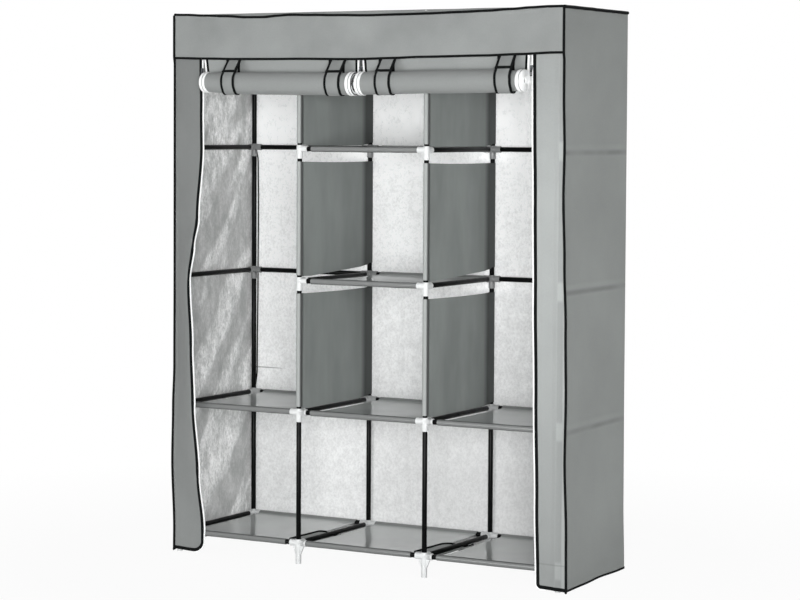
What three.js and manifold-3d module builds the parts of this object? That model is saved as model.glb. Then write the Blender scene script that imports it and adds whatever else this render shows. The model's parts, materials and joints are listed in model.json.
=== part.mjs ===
// Portable fabric wardrobe: a frame of thin steel tubes in white plastic connectors,
// cloth shelves and dividers sleeved on the tubes, a sewn cloth cover with two roll-up
// doors, four door straps and three zip sliders.
// Millimetres, +Z up, +X to the right seen from the front, the front faces -Y.

import * as THREE from 'three';
import { mergeVertices } from 'three/addons/utils/BufferGeometryUtils.js';
import Module from 'manifold-3d';

const wasm = await Module();
wasm.setup();

// Driving dimensions of the frame
const SHELF_WIDTH = 342;
const FRAME_DEPTH = 394;
const LEVEL_HEIGHT = 374;
const FOOT_HEIGHT = 60;
const TUBE_OD = 14;
const TUBE_WALL = 0.8;

// Plastic connectors
const SOCKET_WALL = 1.7;
const ARM_LENGTH = 27;
const SOCKET_STOP_DEPTH = 10;
const LOWER_SLEEVE_LENGTH = 28;
const UPPER_SLEEVE_LENGTH = 10.5;
const FOOT_SHAFT_OD = 16;
const FOOT_WEB_WIDTH = 19.5;
const FOOT_WEB_DEPTH = 35;
const FOOT_WEB_THICKNESS = 6;
const TEE_WIDTH = 34;

// Fits: between plastic and tube, cloth and tube, and parts that only touch
const FIT_GAP = 0.3;
const OVERRUN_LENGTH = 2;

// Cloth of the cover, the shelves and the dividers
const CLOTH_THICKNESS = 1.2;
const PANEL_CLOTH_THICKNESS = 1.6;
const SHELF_SLIP_LENGTH = 5;
const SHELF_END_CLEARANCE = 2;
const SHELF_SAG_DEPTH = 6;
const SHELF_EDGE_HEIGHT = 4.4;
const DIVIDER_FOOT_GAP = 5.5;
const DIVIDER_HEAD_GAP = 8;

// Cover
const HEM_HEIGHT = 4;
const VALANCE_HEIGHT = 125;
const STRIP_WIDTH = 90.5;
const STRIP_CORNER_RADIUS = 28;
const STRIP_SWING_DEPTH = 52;
const STRIP_DRAW_IN_WIDTH = 10;

// Roll-up doors, their straps and the zip sliders
const ROLL_RADIUS = 29;
const ROLL_CORE_RADIUS = 7;
const ROLL_DROP_HEIGHT = 70;
const ROLL_WRAP_THICKNESS = 2.4;
const ROLL_TURNS = 5;
const STRAP_WIDTH = 46;
const STRAP_HEADER_HEIGHT = 24;
const SLIDER_WIDTH = 9.4;
const SLIDER_DEPTH = 5.2;
const SLIDER_HEIGHT = 15;
const SLIDER_DROP_HEIGHT = 30;
const BRIDGE_WIDTH = 3;
const BRIDGE_DEPTH = 2.4;
const PULL_WIDTH = 6;
const PULL_LENGTH = 27;
const PULL_THICKNESS = 1.2;

// Facets
const ROUND_SIDES = 8;
const BORE_SIDES = 8;
const SAG_STEPS = 6;
const ROLL_STEPS = 14;
const STRIP_ACROSS_STEPS = 6;
const STRIP_UP_STEPS = 16;

// Values worked out from the dimensions above. Two posts stand a shelf and the free lengths
// at its two ends apart.
const SHELF_END_GAP = ARM_LENGTH + SHELF_SLIP_LENGTH + SHELF_END_CLEARANCE;
const COLUMN_PITCH = SHELF_WIDTH + 2 * SHELF_END_GAP;
const TUBE_RADIUS = TUBE_OD / 2;
const BORE_RADIUS = TUBE_RADIUS + FIT_GAP;
const SOCKET_RADIUS = BORE_RADIUS + SOCKET_WALL;
const SLEEVE_RADIUS = BORE_RADIUS + CLOTH_THICKNESS;
const FRONT = -FRAME_DEPTH / 2;
const REAR = FRAME_DEPTH / 2;
const LEVEL_NAMES = ['bottom', 'lower', 'middle', 'upper', 'top'];
const LEVELS = LEVEL_NAMES.map((name, index) => FOOT_HEIGHT + index * LEVEL_HEIGHT);
const TOP_LEVEL = LEVELS[LEVELS.length - 1];
const POSTS = [-1.5, -0.5, 0.5, 1.5].map((column) => column * COLUMN_PITCH);
const COLUMN_NAMES = ['left', 'centre', 'right'];
const CENTRE_COLUMN_INDEX = 1;
const SHELVED_OUTER_LEVEL_COUNT = 2;

const ROOF_UNDERSIDE = TOP_LEVEL + SOCKET_RADIUS + FIT_GAP;
const COVER_HALF_WIDTH = POSTS[3] + SOCKET_RADIUS + FIT_GAP + CLOTH_THICKNESS;
const SIDE_INNER = COVER_HALF_WIDTH - CLOTH_THICKNESS;
const BACK_OUTER = REAR + SOCKET_RADIUS + FIT_GAP + CLOTH_THICKNESS;
const PANEL_TOP = ROOF_UNDERSIDE - FIT_GAP;

// Layers of cloth at the front, from the connectors outwards
const DOOR_LAYER = FRONT - SOCKET_RADIUS - FIT_GAP;
const STRAP_LAYER = DOOR_LAYER - CLOTH_THICKNESS - FIT_GAP;
const VALANCE_LAYER = STRAP_LAYER - CLOTH_THICKNESS - FIT_GAP;
const VALANCE_BOTTOM = ROOF_UNDERSIDE + CLOTH_THICKNESS - VALANCE_HEIGHT;

const ROLL_Y = DOOR_LAYER - ROLL_RADIUS;
const ROLL_Z = VALANCE_BOTTOM - ROLL_DROP_HEIGHT;
const STRAP_RADIUS = ROLL_RADIUS + FIT_GAP + CLOTH_THICKNESS / 2;
const STRIP_EDGE = COVER_HALF_WIDTH - STRIP_WIDTH;
const DOOR_OUTER_EDGE = STRIP_EDGE - SLIDER_WIDTH - 2 * FIT_GAP;
const DOOR_INNER_EDGE = SLIDER_WIDTH / 2 + FIT_GAP;

// The origin is at the middle of the whole outline, rolled doors and straps included
const STRAP_FRONT = ROLL_Y - STRAP_RADIUS - CLOTH_THICKNESS / 2;
const ORIGIN_Y = (STRAP_FRONT + BACK_OUTER) / 2;

// Finishes
const FINISHES = {
  tube: { color: 0x17191b, roughness: 0.35, metalness: 0.4 },
  connector: { color: 0xf0f2f2, roughness: 0.45, metalness: 0 },
  shelf: { color: 0xaeb1b0, roughness: 0.85, metalness: 0 },
  divider: { color: 0x757a78, roughness: 0.9, metalness: 0 },
  cover: { color: 0x9ea3a1, roughness: 0.85, metalness: 0 },
  lining: { color: 0xe4e6e5, roughness: 0.95, metalness: 0 },
  strap: { color: 0x5b605f, roughness: 0.85, metalness: 0 },
  slider: { color: 0x2c2e30, roughness: 0.35, metalness: 0.7 },
};

// Solids from closed geometry
function solid(geometry) {
  const bare = geometry.index ? geometry.toNonIndexed() : geometry.clone();
  bare.deleteAttribute('normal');
  bare.deleteAttribute('uv');
  const merged = mergeVertices(bare);
  return new wasm.Manifold(new wasm.Mesh({
    numProp: 3,
    vertProperties: new Float32Array(merged.attributes.position.array),
    triVerts: new Uint32Array(merged.index.array),
  }));
}

function unite(solids) {
  return solids.reduce((whole, next) => whole.add(next));
}

function geometryOf(shape) {
  const mesh = shape.getMesh();
  const geometry = new THREE.BufferGeometry();
  geometry.setAttribute('position', new THREE.BufferAttribute(new Float32Array(mesh.vertProperties), 3));
  geometry.setIndex(new THREE.BufferAttribute(new Uint32Array(mesh.triVerts), 1));
  const faceted = geometry.toNonIndexed();
  faceted.computeVertexNormals();
  return faceted;
}

const AXES = {
  x: new THREE.Vector3(1, 0, 0),
  y: new THREE.Vector3(0, 1, 0),
  z: new THREE.Vector3(0, 0, 1),
};

// A round bar of a radius, from one reach to another along an axis through a centre
function bar(radius, axis, centre, from, to, sides = ROUND_SIDES) {
  const geometry = new THREE.CylinderGeometry(radius, radius, to - from, sides);
  geometry.translate(0, (from + to) / 2, 0);
  geometry.applyQuaternion(new THREE.Quaternion().setFromUnitVectors(AXES.y, AXES[axis]));
  geometry.translate(centre[0], centre[1], centre[2]);
  return solid(geometry);
}

function block(low, high) {
  const size = high.map((value, index) => value - low[index]);
  const middle = high.map((value, index) => (value + low[index]) / 2);
  const geometry = new THREE.BoxGeometry(...size);
  geometry.translate(...middle);
  return geometry;
}

// An outline in the YZ plane carried along X
function extrudeAlongX(shape, from, to) {
  const geometry = new THREE.ExtrudeGeometry(shape, { depth: to - from, bevelEnabled: false });
  geometry.applyMatrix4(new THREE.Matrix4().makeBasis(AXES.y, AXES.z, AXES.x));
  geometry.translate(from, 0, 0);
  return geometry;
}

// An outline in the XY plane carried along Z
function extrudeAlongZ(shape, from, to) {
  const geometry = new THREE.ExtrudeGeometry(shape, { depth: to - from, bevelEnabled: false });
  geometry.translate(0, 0, from);
  return geometry;
}

// A flat outline with holes, its outer edge always counter-clockwise
function flatShape(points, holes = []) {
  const shape = new THREE.Shape(THREE.ShapeUtils.isClockWise(points) ? [...points].reverse() : points);
  shape.holes.push(...holes.map((hole) => new THREE.Path(hole)));
  return shape;
}

function arcPoints(centre, radius, startAngle, endAngle, steps) {
  return Array.from({ length: steps + 1 }, (unused, step) => {
    const angle = startAngle + (endAngle - startAngle) * step / steps;
    return new THREE.Vector2(centre[0] + radius * Math.cos(angle), centre[1] + radius * Math.sin(angle));
  });
}

// A closed sheet between an outer surface and the same surface moved inwards along Y
function clothSheet(acrossSteps, upSteps, outerPoint, thickness) {
  const positions = [];
  const indices = [];
  const columns = acrossSteps + 1;
  const layerSize = columns * (upSteps + 1);
  for (const inward of [0, thickness]) {
    for (let row = 0; row <= upSteps; row += 1) {
      for (let column = 0; column <= acrossSteps; column += 1) {
        const point = outerPoint(column / acrossSteps, row / upSteps);
        positions.push(point.x, point.y + inward, point.z);
      }
    }
  }
  const quad = (a, b, c, d) => indices.push(a, b, c, a, c, d);
  const at = (column, row, layer) => layer * layerSize + row * columns + column;
  for (let row = 0; row < upSteps; row += 1) {
    for (let column = 0; column < acrossSteps; column += 1) {
      quad(at(column, row, 0), at(column + 1, row, 0), at(column + 1, row + 1, 0), at(column, row + 1, 0));
      quad(at(column, row, 1), at(column, row + 1, 1), at(column + 1, row + 1, 1), at(column + 1, row, 1));
    }
  }
  for (let row = 0; row < upSteps; row += 1) {
    const last = acrossSteps;
    quad(at(0, row, 1), at(0, row, 0), at(0, row + 1, 0), at(0, row + 1, 1));
    quad(at(last, row, 0), at(last, row, 1), at(last, row + 1, 1), at(last, row + 1, 0));
  }
  for (let column = 0; column < acrossSteps; column += 1) {
    const last = upSteps;
    quad(at(column, 0, 1), at(column + 1, 0, 1), at(column + 1, 0, 0), at(column, 0, 0));
    quad(at(column, last, 0), at(column + 1, last, 0), at(column + 1, last, 1), at(column, last, 1));
  }
  const geometry = new THREE.BufferGeometry();
  geometry.setAttribute('position', new THREE.BufferAttribute(new Float32Array(positions), 3));
  geometry.setIndex(indices);
  const faceted = geometry.toNonIndexed();
  faceted.computeVertexNormals();
  return faceted;
}

function circlePoints(centre, radius, sides) {
  return arcPoints(centre, radius, 0, 2 * Math.PI, sides).slice(1);
}

const wardrobe = new THREE.Group();
wardrobe.position.y = -ORIGIN_Y;

function place(name, finish, geometry) {
  const material = new THREE.MeshStandardMaterial(FINISHES[finish]);
  material.side = THREE.DoubleSide;
  const mesh = new THREE.Mesh(geometry, material);
  mesh.name = name;
  wardrobe.add(mesh);
}

// Where the rails that run left to right are: all five levels at the rear, and at the
// front all but the two levels where the outer columns are left open for hanging
function hasRail(column, level, row) {
  const isOpenLevel = level >= SHELVED_OUTER_LEVEL_COUNT && level < LEVELS.length - 1;
  return row === REAR || column === CENTRE_COLUMN_INDEX || !isOpenLevel;
}

// Side frame: a front and a rear post with feet, five rails between them and their connectors
function sideFrame(post) {
  const x = POSTS[post];
  const solids = [];
  const bores = [];
  for (const row of [FRONT, REAR]) {
    const inwards = -Math.sign(row);
    solids.push(bar(TUBE_RADIUS, 'z', [x, row, 0], FOOT_HEIGHT, TOP_LEVEL));
    solids.push(bar(FOOT_SHAFT_OD / 2, 'z', [x, row, 0], 0, FOOT_HEIGHT));
    LEVELS.forEach((z, level) => {
      const isTop = level === LEVELS.length - 1;
      const centre = [x, row, z];
      const sleeveTop = isTop ? SOCKET_RADIUS : UPPER_SLEEVE_LENGTH;
      const armEnd = inwards * ARM_LENGTH;
      solids.push(bar(SOCKET_RADIUS, 'z', centre, -LOWER_SLEEVE_LENGTH, sleeveTop));
      solids.push(bar(SOCKET_RADIUS, 'y', centre, Math.min(0, armEnd), Math.max(0, armEnd)));
      for (const side of [-1, 1]) {
        const column = side < 0 ? post - 1 : post;
        const exists = column >= 0 && column < COLUMN_NAMES.length && hasRail(column, level, row);
        if (exists) {
          const mouth = side * ARM_LENGTH;
          const stop = side * SOCKET_STOP_DEPTH;
          const past = side * (ARM_LENGTH + OVERRUN_LENGTH);
          solids.push(bar(SOCKET_RADIUS, 'x', centre, Math.min(0, mouth), Math.max(0, mouth)));
          bores.push(bar(BORE_RADIUS, 'x', centre, Math.min(stop, past), Math.max(stop, past)));
          if (level === 0) solids.push(footWeb(x, row, side));
        }
      }
    });
  }
  for (const z of LEVELS) solids.push(bar(TUBE_RADIUS, 'y', [x, 0, z], FRONT, REAR));
  return geometryOf(unite(solids).subtract(unite(bores)));
}

// The triangular web under an arm of a lowest connector, down to the foot's shaft
function footWeb(x, row, side) {
  const top = FOOT_HEIGHT - SOCKET_RADIUS + SOCKET_WALL;
  const web = flatShape([
    new THREE.Vector2(0, top),
    new THREE.Vector2(side * FOOT_WEB_WIDTH, top),
    new THREE.Vector2(side * FOOT_SHAFT_OD / 2, FOOT_HEIGHT - FOOT_WEB_DEPTH),
    new THREE.Vector2(0, FOOT_HEIGHT - FOOT_WEB_DEPTH),
  ]);
  const geometry = new THREE.ExtrudeGeometry(web, { depth: FOOT_WEB_THICKNESS, bevelEnabled: false });
  geometry.rotateX(Math.PI / 2);
  geometry.translate(x, row + FOOT_WEB_THICKNESS / 2, 0);
  return solid(geometry);
}

['left_outer', 'left_inner', 'right_inner', 'right_outer'].forEach((name, post) => {
  place(`side_frame_${name}`, 'tube', sideFrame(post));
});

// Rails from left to right: open tubes that end against the stops of their sockets
function rail(column, level, row) {
  const ring = flatShape(circlePoints([0, 0], TUBE_RADIUS, ROUND_SIDES), [
    circlePoints([0, 0], TUBE_RADIUS - TUBE_WALL, BORE_SIDES),
  ]);
  const from = POSTS[column] + SOCKET_STOP_DEPTH + FIT_GAP;
  const to = POSTS[column + 1] - SOCKET_STOP_DEPTH - FIT_GAP;
  const geometry = extrudeAlongX(ring, from, to);
  geometry.translate(0, row, LEVELS[level]);
  return geometry;
}

LEVEL_NAMES.forEach((levelName, level) => {
  for (const [rowName, row] of [['front', FRONT], ['rear', REAR]]) {
    COLUMN_NAMES.forEach((columnName, column) => {
      if (hasRail(column, level, row)) {
        place(`rail_${levelName}_${rowName}_${columnName}`, 'tube', rail(column, level, row));
      }
    });
  }
});

// Hanging rods: a tube between two tees that slide on the top rails of two side frames
function hangingRod(column) {
  const left = POSTS[column];
  const right = POSTS[column + 1];
  const middle = [(left + right) / 2, 0, TOP_LEVEL];
  const half = COLUMN_PITCH / 2;
  const teeBore = TEE_WIDTH / 2 + OVERRUN_LENGTH;
  const solids = [bar(TUBE_RADIUS, 'x', middle, -half, half)];
  const bores = [bar(TUBE_RADIUS - TUBE_WALL, 'x', middle, -half, half, BORE_SIDES)];
  for (const [x, side] of [[left, 1], [right, -1]]) {
    const centre = [x, 0, TOP_LEVEL];
    const reach = side * ARM_LENGTH;
    solids.push(bar(SOCKET_RADIUS, 'y', centre, -TEE_WIDTH / 2, TEE_WIDTH / 2));
    solids.push(bar(SOCKET_RADIUS, 'x', centre, Math.min(0, reach), Math.max(0, reach)));
    bores.push(bar(BORE_RADIUS, 'y', centre, -teeBore, teeBore));
  }
  return geometryOf(unite(solids).subtract(unite(bores)));
}

for (const column of [0, 2]) {
  place(`hanging_rod_${COLUMN_NAMES[column]}`, 'tube', hangingRod(column));
}

// A sleeve's outline round a tube, from the sheet's one face round to its other face
function sleeveOutline(centre, lowFace, highFace, turn) {
  const start = Math.asin(highFace / SLEEVE_RADIUS);
  const end = 2 * Math.PI + Math.asin(lowFace / SLEEVE_RADIUS);
  const points = arcPoints([0, 0], SLEEVE_RADIUS, start, end, ROUND_SIDES);
  return points.map((point) => new THREE.Vector2(centre + turn * point.x, point.y));
}

// Shelf: a sheet that sags between two sleeves, one on the front rail and one on the rear
function shelf(column, level) {
  const low = SHELF_EDGE_HEIGHT;
  const high = SHELF_EDGE_HEIGHT + PANEL_CLOTH_THICKNESS;
  const front = sleeveOutline(FRONT, low, high, 1);
  const rear = sleeveOutline(REAR, low, high, -1).reverse();
  const span = REAR - Math.sqrt(SLEEVE_RADIUS ** 2 - low ** 2);
  const sagLine = (height, direction) => Array.from({ length: SAG_STEPS - 1 }, (unused, step) => {
    const share = direction * (2 * (step + 1) / SAG_STEPS - 1);
    return new THREE.Vector2(share * span, height - SHELF_SAG_DEPTH * (1 - share ** 2));
  });
  const edge = [...front, ...sagLine(low, 1), ...rear, ...sagLine(high, -1)];
  const bores = [FRONT, REAR].map((row) => circlePoints([row, 0], BORE_RADIUS, ROUND_SIDES));
  const outline = flatShape(edge, bores);
  const slip = level === 0 && column <= CENTRE_COLUMN_INDEX ? -SHELF_SLIP_LENGTH : SHELF_SLIP_LENGTH;
  const middle = (POSTS[column] + POSTS[column + 1]) / 2 + slip;
  const geometry = extrudeAlongX(outline, middle - SHELF_WIDTH / 2, middle + SHELF_WIDTH / 2);
  geometry.translate(0, 0, LEVELS[level]);
  return geometry;
}

for (let level = 0; level < LEVELS.length - 1; level += 1) {
  COLUMN_NAMES.forEach((columnName, column) => {
    if (hasRail(column, level, FRONT)) {
      place(`shelf_${LEVEL_NAMES[level]}_${columnName}`, 'shelf', shelf(column, level));
    }
  });
}

// Divider: an upright sheet between a sleeve on the front post and one on the rear post
function divider(post, level) {
  const half = PANEL_CLOTH_THICKNESS / 2;
  const front = sleeveOutline(FRONT, -half, half, 1);
  const rear = sleeveOutline(REAR, -half, half, -1).reverse();
  const edge = [...front, ...rear].map((point) => new THREE.Vector2(POSTS[post] - point.y, point.x));
  const bores = [FRONT, REAR].map((row) => circlePoints([POSTS[post], row], BORE_RADIUS, ROUND_SIDES));
  const outline = flatShape(edge, bores);
  const foot = LEVELS[level] + UPPER_SLEEVE_LENGTH + DIVIDER_FOOT_GAP;
  const head = LEVELS[level + 1] - LOWER_SLEEVE_LENGTH - DIVIDER_HEAD_GAP;
  return extrudeAlongZ(outline, foot, head);
}

for (let level = 1; level < LEVELS.length - 1; level += 1) {
  place(`divider_${LEVEL_NAMES[level]}_left`, 'divider', divider(1, level));
  place(`divider_${LEVEL_NAMES[level]}_right`, 'divider', divider(2, level));
}

// Cover: roof, back, two sides and valance, sewn edge to edge
place('cover_roof', 'cover', block(
  [-COVER_HALF_WIDTH, VALANCE_LAYER - CLOTH_THICKNESS, ROOF_UNDERSIDE],
  [COVER_HALF_WIDTH, BACK_OUTER, ROOF_UNDERSIDE + CLOTH_THICKNESS],
));
place('cover_back', 'lining', block(
  [-SIDE_INNER + FIT_GAP, BACK_OUTER - CLOTH_THICKNESS, HEM_HEIGHT],
  [SIDE_INNER - FIT_GAP, BACK_OUTER, PANEL_TOP],
));
place('cover_side_left', 'cover', block(
  [-COVER_HALF_WIDTH, DOOR_LAYER - CLOTH_THICKNESS, HEM_HEIGHT],
  [-SIDE_INNER, BACK_OUTER, PANEL_TOP],
));
place('cover_side_right', 'cover', block(
  [SIDE_INNER, DOOR_LAYER - CLOTH_THICKNESS, HEM_HEIGHT],
  [COVER_HALF_WIDTH, BACK_OUTER, PANEL_TOP],
));
place('cover_valance', 'cover', block(
  [-COVER_HALF_WIDTH, VALANCE_LAYER - CLOTH_THICKNESS, VALANCE_BOTTOM],
  [COVER_HALF_WIDTH, VALANCE_LAYER, PANEL_TOP],
));

// How far the unzipped strip's free edge swings out, from the hem to the roll's height
const swingHeightShares = [0, 0.04, 0.15, 0.28, 0.39, 0.51, 0.61, 0.75, 0.87, 1];
const swingShares = [0, 0, 0.38, 0.68, 0.8, 1, 0.54, 0.16, 0, 0];

function swingAt(heightShare) {
  const next = Math.max(1, swingHeightShares.findIndex((share) => share >= heightShare));
  const low = swingHeightShares[next - 1];
  const blend = (heightShare - low) / (swingHeightShares[next] - low);
  const eased = blend * blend * (3 - 2 * blend);
  return swingShares[next - 1] + (swingShares[next] - swingShares[next - 1]) * eased;
}

// Front strip beside a door, with a rounded lower corner at its free edge
function frontStrip(side, swing) {
  const width = STRIP_WIDTH - CLOTH_THICKNESS - FIT_GAP;
  const height = PANEL_TOP - HEM_HEIGHT;
  return clothSheet(STRIP_ACROSS_STEPS, STRIP_UP_STEPS, (across, up) => {
    const reach = side < 0 ? across : 1 - across;
    const out = swing * swingAt(up) * Math.sin(reach * Math.PI / 2) ** 2;
    const inset = swing * swingAt(up) * reach * STRIP_DRAW_IN_WIDTH / STRIP_SWING_DEPTH;
    const intoCorner = Math.max(0, reach * width - (width - STRIP_CORNER_RADIUS));
    const lift = STRIP_CORNER_RADIUS - Math.sqrt(STRIP_CORNER_RADIUS ** 2 - intoCorner ** 2);
    const x = side * (SIDE_INNER - FIT_GAP - reach * width + inset);
    const z = HEM_HEIGHT + lift + up * (height - lift);
    return new THREE.Vector3(x, DOOR_LAYER - CLOTH_THICKNESS - out, z);
  }, CLOTH_THICKNESS);
}

place('cover_strip_left', 'cover', frontStrip(-1, STRIP_SWING_DEPTH));
place('cover_strip_right', 'cover', frontStrip(1, 0));

// Rolled door: its cloth comes down from the roof seam and winds into a roll at the front
function doorRoll(side) {
  const pitch = (ROLL_RADIUS - ROLL_CORE_RADIUS) / ROLL_TURNS;
  const steps = ROLL_TURNS * ROLL_STEPS;
  const outer = [];
  const inner = [];
  for (let step = 0; step <= steps; step += 1) {
    const turned = step / ROLL_STEPS;
    const angle = -2 * Math.PI * turned;
    const radius = ROLL_RADIUS - pitch * turned;
    const wrap = step === 0 ? CLOTH_THICKNESS : ROLL_WRAP_THICKNESS;
    outer.push(new THREE.Vector2(ROLL_Y + radius * Math.cos(angle), ROLL_Z + radius * Math.sin(angle)));
    inner.push(new THREE.Vector2(
      ROLL_Y + (radius - wrap) * Math.cos(angle),
      ROLL_Z + (radius - wrap) * Math.sin(angle),
    ));
  }
  const tail = [
    new THREE.Vector2(DOOR_LAYER - CLOTH_THICKNESS, PANEL_TOP - 2 * CLOTH_THICKNESS),
    new THREE.Vector2(DOOR_LAYER, PANEL_TOP - 2 * CLOTH_THICKNESS),
  ];
  const outline = flatShape([...tail, ...outer, ...inner.reverse()]);
  const near = side * DOOR_INNER_EDGE;
  const far = side * DOOR_OUTER_EDGE;
  return extrudeAlongX(outline, Math.min(near, far), Math.max(near, far));
}

place('door_roll_left', 'cover', doorRoll(-1));
place('door_roll_right', 'cover', doorRoll(1));

// One side of a strap's loop: over the door's top seam, down its back, round the roll and
// up to the valance's lower edge at the front
function strapLoop(offset) {
  const radius = STRAP_RADIUS + offset;
  const frontY = STRAP_LAYER - CLOTH_THICKNESS / 2 - offset;
  const backY = ROLL_Y + radius;
  const topZ = PANEL_TOP - CLOTH_THICKNESS - FIT_GAP / 2 + offset;
  const alongY = frontY - ROLL_Y;
  const alongZ = VALANCE_BOTTOM - ROLL_Z;
  const reach = Math.hypot(alongY, alongZ);
  const tangent = Math.atan2(alongZ, alongY) + Math.acos(radius / reach);
  const round = arcPoints([ROLL_Y, ROLL_Z], radius, 0, tangent - 2 * Math.PI, ROLL_STEPS);
  return [
    new THREE.Vector2(frontY, VALANCE_BOTTOM),
    new THREE.Vector2(frontY, topZ),
    new THREE.Vector2(backY, topZ),
    ...round,
  ];
}

// A door's two straps on the tape that joins them under the roof
function strapPair(centres) {
  const loops = centres.map((centre) => {
    const outline = flatShape(strapLoop(CLOTH_THICKNESS / 2), [strapLoop(-CLOTH_THICKNESS / 2)]);
    return solid(extrudeAlongX(outline, centre - STRAP_WIDTH / 2, centre + STRAP_WIDTH / 2));
  });
  const headerTop = PANEL_TOP - 2 * CLOTH_THICKNESS;
  const header = solid(block(
    [centres[0], STRAP_LAYER - CLOTH_THICKNESS, headerTop - STRAP_HEADER_HEIGHT],
    [centres[1], STRAP_LAYER, headerTop],
  ));
  return geometryOf(unite([...loops, header]));
}

// Where the straps hang, as shares of the way from the middle to a door's outer edge
const leftStrapShares = [-0.785, -0.12];
const rightStrapShares = [0.19, 0.9];
place('strap_pair_left', 'strap', strapPair(leftStrapShares.map((share) => share * DOOR_OUTER_EDGE)));
place('strap_pair_right', 'strap', strapPair(rightStrapShares.map((share) => share * DOOR_OUTER_EDGE)));

// Zip slider: a tapered body with a bridge that carries a flat pull tab
function zipSlider(x) {
  const back = DOOR_LAYER + FIT_GAP;
  const front = back - SLIDER_DEPTH;
  const top = VALANCE_BOTTOM - SLIDER_DROP_HEIGHT;
  const half = SLIDER_WIDTH / 2;
  const waist = half / 2;
  const body = flatShape([
    new THREE.Vector2(-waist, -SLIDER_HEIGHT),
    new THREE.Vector2(waist, -SLIDER_HEIGHT),
    new THREE.Vector2(half, -waist),
    new THREE.Vector2(half, 0),
    new THREE.Vector2(-half, 0),
    new THREE.Vector2(-half, -waist),
  ]);
  const bodyGeometry = new THREE.ExtrudeGeometry(body, { depth: SLIDER_DEPTH, bevelEnabled: false });
  bodyGeometry.rotateX(Math.PI / 2);
  bodyGeometry.translate(x, back, top);
  const bridge = solid(block(
    [x - BRIDGE_WIDTH / 2, front - BRIDGE_DEPTH, top - SLIDER_HEIGHT + BRIDGE_WIDTH],
    [x + BRIDGE_WIDTH / 2, front + FIT_GAP, top - BRIDGE_WIDTH],
  ));
  const pull = solid(block(
    [x - PULL_WIDTH / 2, front - BRIDGE_DEPTH, top - BRIDGE_WIDTH - PULL_LENGTH],
    [x + PULL_WIDTH / 2, front - BRIDGE_DEPTH + PULL_THICKNESS, top - BRIDGE_WIDTH - BRIDGE_DEPTH],
  ));
  return geometryOf(unite([solid(bodyGeometry), bridge, pull]));
}

const zipLine = STRIP_EDGE - FIT_GAP - SLIDER_WIDTH / 2;
place('zip_slider_left', 'slider', zipSlider(-zipLine));
place('zip_slider_centre', 'slider', zipSlider(0));
place('zip_slider_right', 'slider', zipSlider(zipLine));

export default wardrobe;
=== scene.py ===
import json
import math

import bmesh
import bpy
from bpy.props import FloatProperty, FloatVectorProperty, IntProperty, PointerProperty
from mathutils import Matrix, Vector, noise

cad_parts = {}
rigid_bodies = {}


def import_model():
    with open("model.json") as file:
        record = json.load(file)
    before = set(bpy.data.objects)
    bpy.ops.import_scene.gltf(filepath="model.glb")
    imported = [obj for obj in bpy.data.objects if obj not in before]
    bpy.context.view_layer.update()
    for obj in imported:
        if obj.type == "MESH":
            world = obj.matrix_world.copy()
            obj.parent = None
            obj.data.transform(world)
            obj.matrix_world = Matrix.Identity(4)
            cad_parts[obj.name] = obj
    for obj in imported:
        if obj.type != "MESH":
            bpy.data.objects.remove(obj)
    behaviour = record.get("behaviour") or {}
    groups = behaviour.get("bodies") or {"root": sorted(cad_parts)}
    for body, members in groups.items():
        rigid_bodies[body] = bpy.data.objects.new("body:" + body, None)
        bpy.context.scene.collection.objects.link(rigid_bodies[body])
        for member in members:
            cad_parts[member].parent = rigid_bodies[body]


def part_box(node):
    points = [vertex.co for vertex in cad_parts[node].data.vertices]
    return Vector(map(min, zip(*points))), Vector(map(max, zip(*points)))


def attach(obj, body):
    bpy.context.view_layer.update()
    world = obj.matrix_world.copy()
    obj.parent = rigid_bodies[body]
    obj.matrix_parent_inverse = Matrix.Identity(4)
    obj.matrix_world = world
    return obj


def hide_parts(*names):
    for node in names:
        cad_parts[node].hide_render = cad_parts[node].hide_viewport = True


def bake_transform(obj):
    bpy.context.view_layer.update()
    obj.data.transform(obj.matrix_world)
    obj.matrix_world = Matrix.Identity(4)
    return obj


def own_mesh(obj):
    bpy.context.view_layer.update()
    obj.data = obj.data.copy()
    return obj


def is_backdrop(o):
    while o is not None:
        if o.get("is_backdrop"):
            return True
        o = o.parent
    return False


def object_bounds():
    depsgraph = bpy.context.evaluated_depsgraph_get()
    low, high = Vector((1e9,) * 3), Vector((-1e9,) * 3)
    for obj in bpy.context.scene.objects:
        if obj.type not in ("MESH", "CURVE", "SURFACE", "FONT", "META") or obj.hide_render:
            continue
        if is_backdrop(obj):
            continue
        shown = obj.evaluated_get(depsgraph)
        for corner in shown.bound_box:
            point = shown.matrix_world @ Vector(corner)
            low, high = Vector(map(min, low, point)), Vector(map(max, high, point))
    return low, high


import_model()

CAD_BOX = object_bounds()

bl_info = {
    "name": "Portable Fabric Wardrobe",
    "version": (1, 0, 0),
    "blender": (4, 5, 0),
    "location": "View3D > Sidebar > Wardrobe",
    "description": "Tube-frame wardrobe with cloth shelves, a zipped cover and roll-up doors",
    "category": "Object",
}

# Places of the frame, in metres. The front faces -Y and the floor is at Z = 0.
POST_X = (-0.615, -0.205, 0.205, 0.615)
FRONT_Y = -0.16785
REAR_Y = 0.22615
LEVEL_Z = (0.060, 0.434, 0.808, 1.182, 1.556)
TOP_LEVEL = len(LEVEL_Z) - 1
LEVEL_NAMES = ("bottom", "lower", "middle", "upper", "top")
COLUMN_NAMES = ("left", "centre", "right")
POST_NAMES = ("left_outer", "left_inner", "right_inner", "right_outer")
CENTRE_COLUMN = 1
OPEN_LEVELS = (2, 3)

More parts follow.
